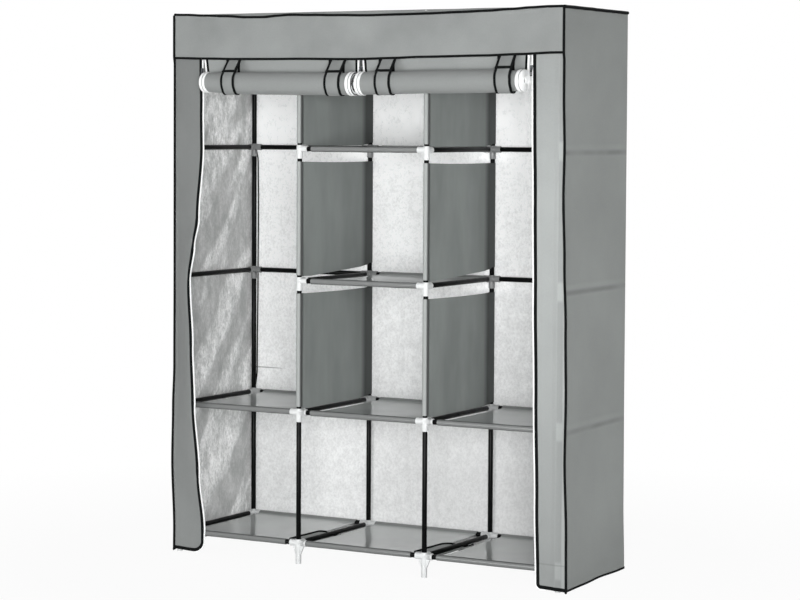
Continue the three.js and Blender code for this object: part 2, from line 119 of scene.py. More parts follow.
# Planes and edges of the cover
COVER_HALF_WIDTH = 0.6255
FACE_Y = -0.17835
VALANCE_Y = -0.18135
BACK_Y = 0.23665
ROOF_Z = 1.5665
PANEL_TOP_Z = 1.5648
HEM_Z = 0.004
VALANCE_BOTTOM_Z = 1.4415
STRIP_EDGE_X = 0.5352
DOOR_OUTER_X = 0.525
DOOR_INNER_X = 0.005
ROLL_Y = -0.2087
ROLL_Z = 1.3715
ZIP_LINE_X = 0.530

# How far the cover hangs off its straight lines, by height, as (height, distance) pairs in metres
LEFT_CORNER_FORWARD = ((0.0, 0.002), (0.07, 0.001), (0.27, 0.004), (0.42, 0.003), (0.56, 0.001), (0.8, 0.0))
LEFT_CORNER_OUT = ((0.0, 0.0), (0.07, 0.0), (0.27, 0.005), (0.42, 0.003), (0.55, 0.0))
LEFT_EDGE_IN = (
    (0.0, 0.010), (0.077, 0.011), (0.244, 0.007), (0.45, 0.002), (0.6, 0.002), (0.8, 0.0), (0.96, 0.006),
    (1.18, 0.010), (1.30, 0.006), (1.40, 0.003),
)
RIGHT_CORNER_OUT = (
    (0.0, 0.021), (0.15, 0.020), (0.36, 0.012), (0.52, 0.015), (0.71, 0.012), (0.88, 0.006),
    (1.06, 0.001), (1.19, 0.003), (1.33, 0.0),
)
RIGHT_CORNER_FORWARD = ((0.0, 0.006), (0.15, 0.006), (0.36, 0.002), (0.52, 0.004), (1.0, 0.0))
RIGHT_EDGE_OUT = (
    (0.0, 0.022), (0.24, 0.017), (0.52, 0.012), (0.78, 0.008), (1.05, 0.005), (1.27, 0.002), (1.45, 0.0),
)
REAR_CORNER_OUT = ((0.0, 0.005), (0.2, 0.001), (0.5, 0.0))
# How far the left strip's free edge stands forward, as (height, share of the full swing) pairs
STRIP_SWING = (
    (0.0, 0.0), (0.066, 0.0), (0.238, 0.36), (0.441, 0.66), (0.613, 0.82), (0.8, 1.0),
    (0.9, 0.72), (0.98, 0.40), (1.18, 0.10), (1.36, 0.0),
)
# How far the roof's front edge, the valance's hem and the rolls sag, as (x, distance) pairs
ROOF_EDGE_SAG = (
    (-0.6255, 0.0), (-0.585, 0.001), (-0.52, 0.004), (-0.45, 0.007), (-0.375, 0.0115), (-0.32, 0.012),
    (-0.27, 0.009), (-0.235, 0.0072), (-0.16, 0.009), (-0.08, 0.011), (0.03, 0.0133), (0.13, 0.0127),
    (0.215, 0.012), (0.31, 0.010), (0.4, 0.008), (0.465, 0.005), (0.53, 0.0017), (0.58, 0.0), (0.6255, 0.0),
)
VALANCE_SAG = (
    (-0.6255, 0.003), (-0.5, 0.006), (-0.4, 0.008), (-0.23, 0.0092), (0.0, 0.0118), (0.11, 0.010),
    (0.2, 0.0078), (0.4, 0.0062), (0.5, 0.0035), (0.6, 0.0),
)
ROLL_SAG = (
    (-0.504, 0.0012), (-0.4, 0.0035), (-0.28, 0.0058), (-0.15, 0.0072), (0.003, 0.0075), (0.013, 0.0066),
    (0.12, 0.0055), (0.25, 0.0032), (0.45, 0.0022), (0.529, 0.0012),
)
# How far the left rear seam lies inwards, as (height, distance) pairs
REAR_SEAM_IN = ((0.43, 0.0), (0.50, 0.0075), (0.81, 0.0098), (1.0, 0.0110), (1.14, 0.0095), (1.19, 0.0))
# The straps' middles, and their widths as shares of the strap width
STRAP_X = (-0.403, -0.057, 0.104, 0.4735)
STRAP_SPREAD = (1.0, 1.12, 1.10, 1.12)


def curve_value(pairs, at):
    """Smooth value of a table of pairs."""
    if at <= pairs[0][0]:
        return pairs[0][1]
    for (low, first), (high, second) in zip(pairs, pairs[1:]):
        if at <= high:
            share = (at - low) / (high - low)
            return first + (second - first) * share * share * (3 - 2 * share)
    return pairs[-1][1]


def linear(code):
    """Linear colour of a hexadecimal display colour."""
    parts = [int(code[start : start + 2], 16) / 255 for start in (0, 2, 4)]
    return tuple(part / 12.92 if part <= 0.04045 else ((part + 0.055) / 1.055) ** 2.4 for part in parts)


def ripple(x, y, z, size, seed=0.0):
    """Smooth noise from -1 to 1 with waves of about that size in metres."""
    return noise.noise(Vector((x / size + seed, y / size + seed * 1.7, z / size - seed)))


# Sizes and colours


def size_property(name, description, default):
    return FloatProperty(
        name=name,
        description=description,
        default=default,
        min=0.0,
        max=1.0,
        unit="LENGTH",
        subtype="DISTANCE",
    )


def colour_property(name, description, code):
    return FloatVectorProperty(
        name=name,
        description=description,
        default=linear(code),
        size=3,
        min=0.0,
        max=1.0,
        subtype="COLOR",
    )


class WardrobeFrameSizes(bpy.types.PropertyGroup):
    """Sizes of the tubes and connectors."""

    tube_radius: size_property("Tube radius", "Outer radius of the steel tubes", 0.007)
    tube_wall: size_property("Tube wall", "Wall of the steel tubes", 0.0008)
    socket_radius: size_property("Socket radius", "Outer radius of the connectors", 0.009)
    bore_radius: size_property("Bore radius", "Radius of the sockets' bores", 0.0072)
    arm_length: size_property("Arm length", "From a post's middle to the mouth of an arm", 0.027)
    socket_stop: size_property("Socket stop", "From a post's middle to the end of a tube", 0.0103)
    lower_sleeve: size_property("Lower sleeve", "Connector below a level", 0.028)
    upper_sleeve: size_property("Upper sleeve", "Connector above a level", 0.0105)
    foot_radius: size_property("Foot radius", "Radius of a foot's shaft", 0.008)
    tee_width: size_property("Tee width", "Length of a rod tee on the rail that carries it", 0.034)
    sides: IntProperty(name="Sides", description="Sides of a round piece", default=24, min=12, max=64)


class WardrobeClothSizes(bpy.types.PropertyGroup):
    """Sizes of the cloth pieces."""

    cover: size_property("Cover cloth", "Thickness of the cover's cloth", 0.0009)
    panel: size_property("Shelf cloth", "Thickness of the shelves' and dividers' cloth", 0.0010)
    sleeve_radius: size_property("Sleeve radius", "Outer radius of a sleeve round a tube", 0.0084)
    shelf_sag: size_property("Shelf sag", "How deep a shelf hangs in its middle", 0.007)
    swing: size_property("Strip swing", "How far the left strip's free edge stands forward", 0.058)
    binding_width: size_property("Binding width", "Width of the black binding on free edges", 0.0098)
    binding_depth: size_property("Binding depth", "Thickness of the black binding", 0.0024)
    piping_radius: size_property("Piping radius", "Radius of the black piping in the seams", 0.0036)
    roll_radius: size_property("Roll radius", "Outer radius of a rolled door", 0.0322)
    roll_core: size_property("Roll core", "Radius of the hollow in a rolled door", 0.0095)
    strap_width: size_property("Strap width", "Width of a door strap", 0.046)


class WardrobeColours(bpy.types.PropertyGroup):
    """Colours of the finishes."""

    cover: colour_property("Cover", "Grey cloth of the cover", "878a89")
    # The sides and the back's outside take a lighter copy of the cover's cloth: painted light.
    side: colour_property("Side", "Grey cloth of the cover's sides", "939795")
    lining: colour_property("Lining", "White inner face of the back", "f9fafa")
    side_lining: colour_property("Side lining", "Inner face of the sides and strips", "fbfdfc")
    shelf: colour_property("Shelf", "Grey cloth of the shelves", "b8bbba")
    divider: colour_property("Divider", "Dark grey cloth of the dividers", "868b89")
    # The sleeve tone is a lighter copy of the divider's cloth: painted light on the front sleeves.
    sleeve: colour_property("Sleeve", "Light front sleeve of a divider", "9da09f")
    tube: colour_property("Tube", "Black lacquer of the tubes", "040505")
    connector: colour_property("Connector", "White plastic of the connectors", "d8dada")
    binding: colour_property("Binding", "Black binding and piping", "060808")
    tape: colour_property("Zip tape", "White tape of the zips", "f6f7f7")
    metal: colour_property("Zip metal", "Dark metal of the sliders", "3a3c3e")


def frame_sizes():
    return bpy.context.scene.wardrobe_frame


def cloth_sizes():
    return bpy.context.scene.wardrobe_cloth


def colours():
    return bpy.context.scene.wardrobe_colours


# Finishes


class Nodes:
    """A node tree under construction, with short ways to add nodes to it."""

    def __init__(self, tree):
        tree.nodes.clear()
        self.nodes = tree.nodes
        self.links = tree.links

    def put(self, socket, value):
        if isinstance(value, bpy.types.NodeSocket):
            self.links.new(value, socket)
        else:
            socket.default_value = value

    def add(self, kind, output, inputs, **settings):
        """Add a node, fill its sockets and give back one of its outputs."""
        node = self.nodes.new(f"ShaderNode{kind}")
        for key, value in settings.items():
            setattr(node, key, value)
        for key, value in inputs.items():
            self.put(node.inputs[key], value)
        return node.outputs[output] if output else node

    def math(self, operation, first, second=0.0):
        return self.add("Math", "Value", {0: first, 1: second}, operation=operation)

    def times(self, first, second):
        return self.math("MULTIPLY", first, second)


class Finish(Nodes):
    """A material under construction: a Principled shader and the patterns that feed it."""

    def __init__(self, name, roughness, metallic=0.0):
        self.material = bpy.data.materials.new(name)
        self.material.use_nodes = True
        super().__init__(self.material.node_tree)
        self.shader = self.add("BsdfPrincipled", None, {"Roughness": roughness, "Metallic": metallic})
        self.output = self.add("OutputMaterial", None, {"Surface": self.shader.outputs["BSDF"]})
        self.place = self.add("TexCoord", "Object", {})

    def axes(self):
        """The X, Y and Z of a place on the piece."""
        return self.add("SeparateXYZ", None, {"Vector": self.place}).outputs

    def stretched(self, scale, rotation=(0.0, 0.0, 0.0), **settings):
        inputs = {"Vector": self.place, "Scale": scale, "Rotation": rotation}
        return self.add("Mapping", "Vector", inputs, **settings)

    def cloud(self, scale, detail=2.0, roughness=0.5, place=None):
        inputs = {"Vector": place or self.place, "Scale": scale, "Detail": detail, "Roughness": roughness}
        return self.add("TexNoise", "Fac", inputs)

    def cells(self, scale):
        return self.add("TexVoronoi", "Distance", {"Vector": self.place, "Scale": scale})

    def bands(self, scale, direction):
        return self.add("TexWave", "Fac", {"Vector": self.place, "Scale": scale}, bands_direction=direction)

    def ranged(self, value, low, high, to_low=0.0, to_high=1.0):
        inputs = {"Value": value, "From Min": low, "From Max": high, "To Min": to_low, "To Max": to_high}
        return self.add("MapRange", "Result", inputs)

    def distance(self, value, middle=0.0):
        return self.math("ABSOLUTE", self.math("SUBTRACT", value, middle))

    def near(self, value, middle, inner, outer, strength=1.0):
        """Full strength within the inner distance of a middle value, and none past the outer one."""
        return self.ranged(self.distance(value, middle), inner, outer, strength, 0.0)

    def mix(self, share, first, second):
        first, second = (
            value if isinstance(value, bpy.types.NodeSocket) else (*value, 1.0) for value in (first, second)
        )
        return self.add("Mix", "Result", {"Factor": share, "A": first, "B": second}, data_type="RGBA")

    def two_tones(self, pattern, low, high, first, second):
        return self.mix(self.ranged(pattern, low, high), first, second)

    def look(self, **values):
        """Set sockets of the shader. An underscore stands for a space."""
        for key, value in values.items():
            self.put(self.shader.inputs[key.replace("_", " ")], value)

    def bump(self, height, distance, strength):
        inputs = {"Height": height, "Distance": distance, "Strength": strength}
        self.look(Normal=self.add("Bump", "Normal", inputs))


def tinted(colour, factor):
    return tuple(min(1.0, part * factor) for part in colour)


# Scales of the patterns, per metre
SPECK_SCALE = 310.0
DOT_SCALE = 620.0

# Where painted shade and painted highlights of the frame and the folds lie on the cloth, in metres, and the
# strength of the side lining's painted glow
SIDE_DARK_LINE = -0.004
SIDE_LIGHT_LINE = 0.011
STRIP_POST_X = 0.6225
STRIP_LIGHT_X = 0.6375
STRIP_FOLD_Z = 0.075
BACK_CREASE_Z = 0.508
SIDE_FOLD_TURN = (-0.62, 0.0, 0.0)
SIDE_FOLD_STRETCH = (2.5, 0.8, 4.0)
SIDE_GLOW = 0.09


def cloth_finish(name, colour, patches=0.06, fibre=0.05, bonded=0.00012, wide=3.2, over=None):
    """Bonded cloth: broad soft patches, fine fibre speckle and small pressed dots."""
    made = Finish(name, 0.86)
    broad = made.cloud(wide, 3.0, 0.55)
    specks = made.cloud(SPECK_SCALE, 3.0, 0.7)
    dots = made.cells(DOT_SCALE)
    ground = made.two_tones(broad, 0.3, 0.7, tinted(colour, 1 - patches), tinted(colour, 1 + patches))
    if over:
        ground = over(made, ground)
    speckled = made.ranged(specks, 0.3, 0.75, 0.0, 2.2 * fibre)
    made.look(
        Base_Color=made.mix(speckled, ground, tinted(colour, 0.45)),
        Roughness=made.ranged(specks, 0.3, 0.7, 0.78, 0.94),
        Sheen_Weight=0.12,
        Sheen_Roughness=0.5,
    )
    made.bump(made.math("ADD", dots, specks), bonded, 0.7)
    return made


def height_above_level(made, height):
    """Height above the nearest level of rails."""
    pitch = LEVEL_Z[1] - LEVEL_Z[0]
    above = made.math("ADD", height, pitch / 2 - LEVEL_Z[0])
    return made.math("SUBTRACT", made.math("MODULO", above, pitch), pitch / 2)


def rail_crease_shading(made, ground):
    """Painted shade and painted highlight lines on the sides where the cloth lies on the rails of the middle
    levels, and painted shade towards the top and the floor.
    """
    tone = colours().side
    height = made.axes()["Z"]
    from_level = height_above_level(made, height)
    broken = made.ranged(made.cloud(7.0), 0.35, 0.6, 0.35, 1.0)
    fading = made.times(broken, made.near(height, 0.81, 0.5, 0.6))
    # Painted shade below each rail and a painted highlight above it.
    dark = made.times(made.near(from_level, SIDE_DARK_LINE, 0.002, 0.010, 0.55), fading)
    light = made.times(made.near(from_level, SIDE_LIGHT_LINE, 0.002, 0.010, 0.16), fading)
    # Painted shade towards the top and the floor.
    ends = made.ranged(made.distance(height, 0.78), 0.58, 0.76, 0.0, 0.16)
    ground = made.mix(ends, ground, tinted(tone, 0.4))
    ground = made.mix(dark, ground, tinted(tone, 0.45))
    return made.mix(light, ground, tinted(tone, 1.6))


def left_strip_shade(made, ground):
    """Painted shade that makes the left strip a little darker towards its top."""
    up = made.ranged(made.axes()["Z"], 0.2, 1.3, 0.0, 0.22)
    return made.mix(up, ground, tinted(colours().cover, 0.2))


def right_strip_shade(made, ground):
    """Painted light and shade on the right strip: painted shade where the post lies behind it between the
    rails, painted highlights where the connectors lie behind it and beside the post, and painted shade
    towards the floor, the top and in a fold near the hem.
    """
    tone = colours().cover
    axes = made.axes()
    # Painted shade towards the floor and towards the top.
    low = made.ranged(axes["Z"], 0.95, 0.05, 0.0, 0.62)
    high = made.ranged(axes["Z"], 1.05, 1.35, 0.0, 0.45)
    from_level = made.distance(height_above_level(made, axes["Z"]))
    post = made.near(axes["X"], STRIP_POST_X, 0.007, 0.010)
    between_levels = made.times(post, made.ranged(from_level, 0.022, 0.030, 0.0, 0.32))
    at_levels = made.times(post, made.ranged(from_level, 0.018, 0.026, 0.2, 0.0))
    # Painted highlight beside the post.
    beside = made.near(axes["X"], STRIP_LIGHT_X, 0.003, 0.007, 0.28)
    # Painted shade in a fold near the hem.
    fold = made.near(axes["Z"], STRIP_FOLD_Z, 0.001, 0.003, 0.35)
    ground = made.mix(made.math("MAXIMUM", low, high), ground, tinted(tone, 0.75))
    ground = made.mix(between_levels, ground, tinted(tone, 0.75))
    ground = made.mix(made.math("MAXIMUM", at_levels, beside), ground, tinted(tone, 1.9))
    return made.mix(fold, ground, tinted(tone, 0.55))


def shelf_sleeve_shading(made, ground):
    """Tone down a shelf's front sleeve, paint shade into the folds above and below it, and paint shade on the
    rear sleeve.
    """
    tone = colours()
    axes = made.axes()
    from_level = made.distance(height_above_level(made, axes["Z"]))
    front = made.ranged(axes["Y"], FRONT_Y - 0.0005, FRONT_Y + 0.002, 1.0, 0.0)
    # Painted shade in the folds above and below the front sleeve.
    fold = made.ranged(from_level, 0.0054, 0.0078, 0.0, 0.8)
    sleeve = made.mix(fold, tinted(tone.sleeve, 0.46), tinted(tone.divider, 0.08))
    # Painted shade on the rear sleeve.
    rear = made.ranged(axes["Y"], REAR_Y - 0.016, REAR_Y - 0.011, 0.0, 0.8)
    return made.mix(rear, made.mix(front, ground, sleeve), tinted(tone.divider, 0.35))


def lining_finish(name, colour, patches, wide, streak, fibre, fibre_scale, over):
    """White fibre face of the cloth: mottled clouds and short drawn fibres, with painted shade that greys it
    near the floor and more to the right, and a painted glow.
    """
    made = Finish(name, 0.93)
    drawn = made.stretched(streak)
    clouds = made.cloud(wide, 6.0, 0.75, drawn)
    fibres = made.cloud(fibre_scale, 5.0, 0.8, drawn)
    level = made.math("ADD", made.times(clouds, 0.8), made.times(made.cloud(4.5), 0.2))
    ground = made.two_tones(level, 0.42, 0.58, tinted(colour, 1 - patches), tinted(colour, 1 + patches / 3))
    axes = made.axes()
    # Painted shade near the floor, deeper to the right.
    low = made.times(made.ranged(axes["Z"], 0.9, 0.2), made.ranged(axes["X"], -0.54, 0.11, 0.09, 0.66))
    ground = made.mix(low, ground, tinted(colour, 0.5))
    ground, glow = over(made, ground, axes, colour, fibres)
    ground = made.mix(made.ranged(fibres, 0.42, 0.60, 0.0, fibre), ground, tinted(colour, 0.3))
    # The emission is a painted glow: the lining lights itself.
    made.look(Base_Color=ground, Emission_Color=ground, Emission_Strength=glow)
    made.bump(fibres, 0.0004, 0.6)
    return made


def back_crease_shading_and_glow(made, ground, axes, colour, fibres):
    """Painted shade in a short crease at the left of the back, and a painted glow that stands in for the
    light that comes through the cloth.
    """
    crease = made.near(axes["Z"], BACK_CREASE_Z, 0.0008, 0.0022, 0.75)
    crease = made.times(crease, made.ranged(axes["X"], -0.56, -0.5, 1.0, 0.0))
    low_glow = made.ranged(axes["Z"], 0.3, 0.55, 0.02, 0.12)
    glow = made.math("ADD", low_glow, made.ranged(axes["Z"], 1.05, 1.25, 0.0, 0.08))
    return made.mix(crease, ground, tinted(colour, 0.15)), glow


def side_fold_shading(made, ground, axes, colour, fibres):
    """Light fibres, soft painted shade in folds that slant down from the rear, and a painted glow."""
    turned = made.stretched(SIDE_FOLD_STRETCH, SIDE_FOLD_TURN, vector_type="TEXTURE")
    folds = made.cloud(9.5, 2.0, 0.4, turned)
    ground = made.mix(made.ranged(fibres, 0.48, 0.36, 0.0, 0.25), ground, tinted(colour, 0.95))
    return made.mix(made.ranged(folds, 0.48, 0.58, 0.0, 0.6), ground, tinted(colour, 0.27)), SIDE_GLOW


def divider_finish(tone):
    """Dark cloth with upright streaks; painted light on the front sleeve, painted shade in the fold beside
    it, painted shade deepening towards the rear and a painted shadow at the rear post.
    """
    made = Finish("dark divider cloth", 0.88)
    axes = made.axes()
    deep = made.ranged(axes["Y"], FRONT_Y + 0.007, FRONT_Y + 0.011)
    # Painted shade towards the rear, and a painted shadow in a band at the rear post.
    rear = made.ranged(axes["Y"], REAR_Y - 0.17, REAR_Y - 0.03, 0.0, 0.45)
    band = made.ranged(axes["Y"], REAR_Y - 0.052, REAR_Y - 0.026, 0.0, 0.85)
    streaks = made.cloud(8.0, 3.0, 0.6, made.stretched((1.0, 1.0, 0.3)))
    body = made.two_tones(streaks, 0.36, 0.64, tinted(tone.divider, 0.89), tinted(tone.divider, 1.11))
    body = made.mix(rear, body, tinted(tone.divider, 0.35))
    body = made.mix(band, body, tinted(tone.divider, 0.1))
    # The front sleeve takes the lighter sleeve tone as painted light, with painted shade in its fold.
    from_post = made.distance(made.distance(axes["X"]), POST_X[2])
    fold = made.ranged(from_post, 0.0050, 0.0074, 0.0, 0.85)
    sleeve = made.mix(fold, tone.sleeve, tinted(tone.divider, 0.12))
    made.look(Base_Color=made.mix(deep, sleeve, body))
    made.bump(made.cloud(SPECK_SCALE, 3.0, 0.7), 0.00012, 0.7)
    return made


def tube_finish(tone):
    """Black lacquer, slightly worn."""
    made = Finish("black lacquered steel", 0.34)
    wear = made.cloud(60.0, 3.0, 0.6)
    made.look(
        Base_Color=made.two_tones(wear, 0.35, 0.75, tone.tube, tinted(tone.tube, 1.6)),
        Roughness=made.ranged(wear, 0.3, 0.7, 0.26, 0.42),
        Specular_IOR_Level=0.09,
    )
    made.bump(made.cloud(900.0), 0.00002, 0.5)
    return made


def plastic_finish(tone):
    """White moulded plastic, with painted shade that greys it deep inside the wardrobe, more at the upper
    levels.
    """
    made = Finish("white moulded plastic", 0.4)
    cloudy = made.cloud(45.0)
    white = made.two_tones(cloudy, 0.3, 0.7, tinted(tone.connector, 0.95), tone.connector)
    axes = made.axes()
    # Painted shade on the connectors at the rear, deeper higher up.
    painted_deep_shade = made.times(made.ranged(axes["Y"], 0.0, 0.18), made.ranged(axes["Z"], 0.1, 0.8, 0.25, 0.95))
    made.look(
        Base_Color=made.mix(painted_deep_shade, white, tinted(tone.connector, 0.24)),
        Roughness=made.ranged(cloudy, 0.3, 0.7, 0.34, 0.46),
    )
    made.bump(made.cloud(700.0), 0.00003, 0.5)
    return made


def woven_finish(name, roughness, ribs, direction, fuzz_scale, tones, depth):
    """A woven tape: ribs and a fine fuzz in two tones."""
    made = Finish(name, roughness)
    rib = made.bands(ribs, direction)
    fuzz = made.cloud(fuzz_scale)
    made.look(Base_Color=made.two_tones(fuzz, *tones))
    made.bump(made.math("ADD", rib, fuzz), *depth)
    return made


def metal_finish(tone):
    """Dark metal, rubbed bright in places."""
    made = Finish("dark zip metal", 0.32, 0.85)
    rubbed = made.cloud(240.0, 3.0, 0.6)
    made.look(
        Base_Color=made.two_tones(rubbed, 0.4, 0.75, tone.metal, tinted(tone.metal, 3.0)),
        Roughness=made.ranged(rubbed, 0.3, 0.7, 0.24, 0.45),
    )
    return made


def make_finishes():
    tone = colours()
    back_lining = (tone.lining, 0.10, 34.0, (1.0, 1.0, 0.85), 0.25, 140.0, back_crease_shading_and_glow)
    side_lining = (tone.side_lining, 0.45, 24.0, (1.0, 1.0, 0.5), 0.5, 165.0, side_fold_shading)
    # The front strips are shaded and lit copies of the cover's cloth: painted shade on the left strip and
    # painted light on the right one.
    shaded, lit = tinted(tone.cover, 0.855), tinted(tone.cover, 1.52)
    black = (0.35, 0.7, tone.binding, tinted(tone.binding, 1.8))
    white = (0.3, 0.7, tinted(tone.tape, 0.93), tone.tape)
    made = {
        "cover": cloth_finish("grey cover cloth", tone.cover, 0.15, wide=4.2),
        "side": cloth_finish("grey side cloth", tone.side, 0.08, over=rail_crease_shading),
        "lining": lining_finish("white fibre lining", *back_lining),
        "side_lining": lining_finish("grey fibre lining", *side_lining),
        "shelf": cloth_finish("grey shelf cloth", tone.shelf, 0.05, 0.04, 0.0001, 5.0, shelf_sleeve_shading),
        "divider": divider_finish(tone),
        "tube": tube_finish(tone),
        "connector": plastic_finish(tone),
        "binding": woven_finish("black woven binding", 0.85, 240.0, "DIAGONAL", 500.0, black, (0.00012, 0.7)),
        "strip_left": cloth_finish("shaded strip cloth", shaded, 0.09, over=left_strip_shade),
        "strip_right": cloth_finish("lit strip cloth", lit, 0.09, over=right_strip_shade),
        "door": cloth_finish("rolled door cloth", tinted(tone.cover, 0.98)),
        # The tab's cloth is the shelf's cloth made darker: painted shade under the rail.
        "shelf_tab": cloth_finish("grey tab cloth", tinted(tone.shelf, 0.7), 0.05),
        # The hanging door cloth is a lighter copy of the door's cloth: painted light.
        "curtain": cloth_finish("hanging door cloth", tinted(tone.cover, 1.22)),
        "strap": cloth_finish("strap cloth", tinted(tone.cover, 0.97)),
        "sleeve_thread": cloth_finish("grey thread", tinted(tone.shelf, 0.8), 0.02, 0.1),
        "tape": woven_finish("white zip tape", 0.7, 330.0, "Z", 420.0, white, (0.0001, 0.6)),
        "metal": metal_finish(tone),
    }
    made["shelf"].look(Sheen_Weight=0.0, Coat_Weight=0.9, Coat_Roughness=0.11)
    made["binding"].look(Specular_IOR_Level=0.12)
    return {key: finish.material for key, finish in made.items()}


FINISHES = {}


def dress(piece, slot, *finishes):
    """Give a piece its finishes, the second and third by the faces' marks. The slot is not used."""
    marks = [face.material_index for face in piece.data.polygons]
    piece.data.materials.clear()
    for key in finishes:
        piece.data.materials.append(FINISHES[key])
    if len(finishes) > 1:
        piece.data.polygons.foreach_set("material_index", marks)


def fit(piece, slot, *finishes, node=None, body="wardrobe"):
    """Dress a piece, fix it to a body, and let it stand for a solid."""
    dress(piece, slot, *finishes)
    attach(piece, body)
    if node:
        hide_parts(node)


# Shop tools


def deselect_all():
    if bpy.context.object and bpy.context.object.mode != "OBJECT":
        bpy.ops.object.mode_set(mode="OBJECT")
    bpy.ops.object.select_all(action="DESELECT")


def take(piece):
    deselect_all()
    piece.select_set(True)
    bpy.context.view_layer.objects.active = piece


def settle(piece, name=None):
    """Put a piece's place, turn and size into its mesh."""
    take(piece)
    bpy.ops.object.transform_apply(location=True, rotation=True, scale=True)
    if name:
        piece.name = name
        piece.data.name = name
    return piece


def round_bar(radius, start, end, sides):
    """A cylinder from one point to another."""
    line = Vector(end) - Vector(start)
    deselect_all()
    bpy.ops.mesh.primitive_cylinder_add(
        vertices=sides,
        radius=radius,
        depth=line.length,
        location=(Vector(start) + Vector(end)) / 2,
        rotation=line.to_track_quat("Z", "Y").to_euler(),
    )
    return settle(bpy.context.object)


def box_piece(low, high):
    low, high = Vector(low), Vector(high)
    deselect_all()
    bpy.ops.mesh.primitive_cube_add(size=1.0, location=(low + high) / 2, scale=high - low)
    return settle(bpy.context.object)


def pick(piece, faces=None, edges=None, verts=None):
    """Enter edit mode with the faces, edges or vertices chosen that pass a test."""
    take(piece)
    bpy.ops.object.mode_set(mode="EDIT")
    mode = "FACE" if faces else "EDGE" if edges else "VERT"
    bpy.ops.mesh.select_mode(type=mode)
    bpy.ops.mesh.select_all(action="DESELECT")
    mesh = bmesh.from_edit_mesh(piece.data)
    group = mesh.faces if faces else mesh.edges if edges else mesh.verts
    test = faces or edges or verts
    for element in group:
        if test(element):
            element.select_set(True)
    mesh.select_flush_mode()
    bmesh.update_edit_mesh(piece.data)


def done():
    bpy.ops.object.mode_set(mode="OBJECT")


def is_rim(axis):
    """Test for the sharp rims at the ends of a bar along an axis."""

    def test(edge):
        ends = [face for face in edge.link_faces if abs(face.normal[axis]) > 0.9]
        return len(ends) == 1

    return test


def bevel_rims(piece, axis, offset, segments=2):
    pick(piece, edges=is_rim(axis))
    bpy.ops.mesh.bevel(offset=offset, segments=segments, affect="EDGES")
    done()


def combine(base, others, operation):
    """Unite other solids with a base solid, or cut them out of it."""
    for other in others:
        modifier = base.modifiers.new("combine", "BOOLEAN")
        modifier.operation = operation
        modifier.solver = "EXACT"
        modifier.object = other
        take(base)
        bpy.ops.object.modifier_apply(modifier=modifier.name)
        bpy.data.objects.remove(other)
    return base


def smooth(piece, degrees=35.0):
    take(piece)
    bpy.ops.object.shade_smooth_by_angle(angle=math.radians(degrees))


def copied(piece, name, offset=(0, 0, 0), turn=None):
    """A copy with its own mesh, turned about the world's origin and moved."""
    twin = piece.copy()
    twin.data = piece.data.copy()
    twin.name = name
    twin.data.name = name
    if turn:
        twin.data.transform(turn)
    twin.data.transform(Matrix.Translation(offset))
    bpy.context.scene.collection.objects.link(twin)
    return twin


def joined(pieces, name):
    deselect_all()
    for piece in pieces:
        piece.select_set(True)
    bpy.context.view_layer.objects.active = pieces[0]
    bpy.ops.object.join()
    pieces[0].name = name
    pieces[0].data.name = name
    return pieces[0]


def remove(*pieces):
    for piece in pieces:
        bpy.data.objects.remove(piece)


def from_lists(name, vertices, faces, marks=None):
    """A mesh object from vertices and faces, with a finish index for each face."""
    mesh = bpy.data.meshes.new(name)
    mesh.from_pydata(vertices, [], faces)
    if marks:
        mesh.polygons.foreach_set("material_index", marks)
    mesh.polygons.foreach_set("use_smooth", [True] * len(mesh.polygons))
    mesh.update()
    piece = bpy.data.objects.new(name, mesh)
    bpy.context.scene.collection.objects.link(piece)
    return piece


# Cloth tools


def cloth(name, columns, rows, outer, thickness, inner_mark=0):
    """A sheet between its outer face, outer(u, v), and a parallel inner face.

    Seen from outside, u runs to the right and v runs up."""
    grid = [[Vector(outer(c / columns, r / rows)) for c in range(columns + 1)] for r in range(rows + 1)]
    normals = [[Vector() for point in row] for row in grid]
    squares = []
    for r in range(rows):
        for c in range(columns):
            corners = ((r, c), (r, c + 1), (r + 1, c + 1), (r + 1, c))
            first, second, third, fourth = (grid[i][j] for i, j in corners)
            normal = (third - first).cross(fourth - second)
            for i, j in corners:
                normals[i][j] += normal
            squares.append(corners)
    width = columns + 1
    layer = width * (rows + 1)
    vertices = [tuple(point) for row in grid for point in row]
    vertices += [
        tuple(point - normals[i][j].normalized() * thickness)
        for i, row in enumerate(grid)
        for j, point in enumerate(row)
    ]
    faces, marks = [], []
    for corners in squares:
        index = [i * width + j for i, j in corners]
        faces += [index, [layer + k for k in reversed(index)]]
        marks += [0, inner_mark]
    rim = [(0, c) for c in range(columns)] + [(r, columns) for r in range(rows)]
    rim += [(rows, c) for c in range(columns, 0, -1)] + [(r, 0) for r in range(rows, 0, -1)]
    for (i, j), (k, m) in zip(rim, rim[1:] + rim[:1]):
        first, second = i * width + j, k * width + m
        faces.append([second, first, first + layer, second + layer])
        marks.append(0)
    return from_lists(name, vertices, faces, marks)


def round_section(radius, sides=10):
    angles = [math.tau * k / sides for k in range(sides)]
    return [(radius * math.cos(angle), radius * math.sin(angle)) for angle in angles]


def flat_section(width, depth):
    """A folded tape's section: flat, with round edges."""
    half, thick = width / 2, depth / 2
    soft = thick * 0.7
    side = [(half - soft, -thick), (half - soft * 0.3, -thick * 0.7), (half, 0)]
    side += [(half - soft * 0.3, thick * 0.7), (half - soft, thick)]
    return side + [(-w, -t) for w, t in side]


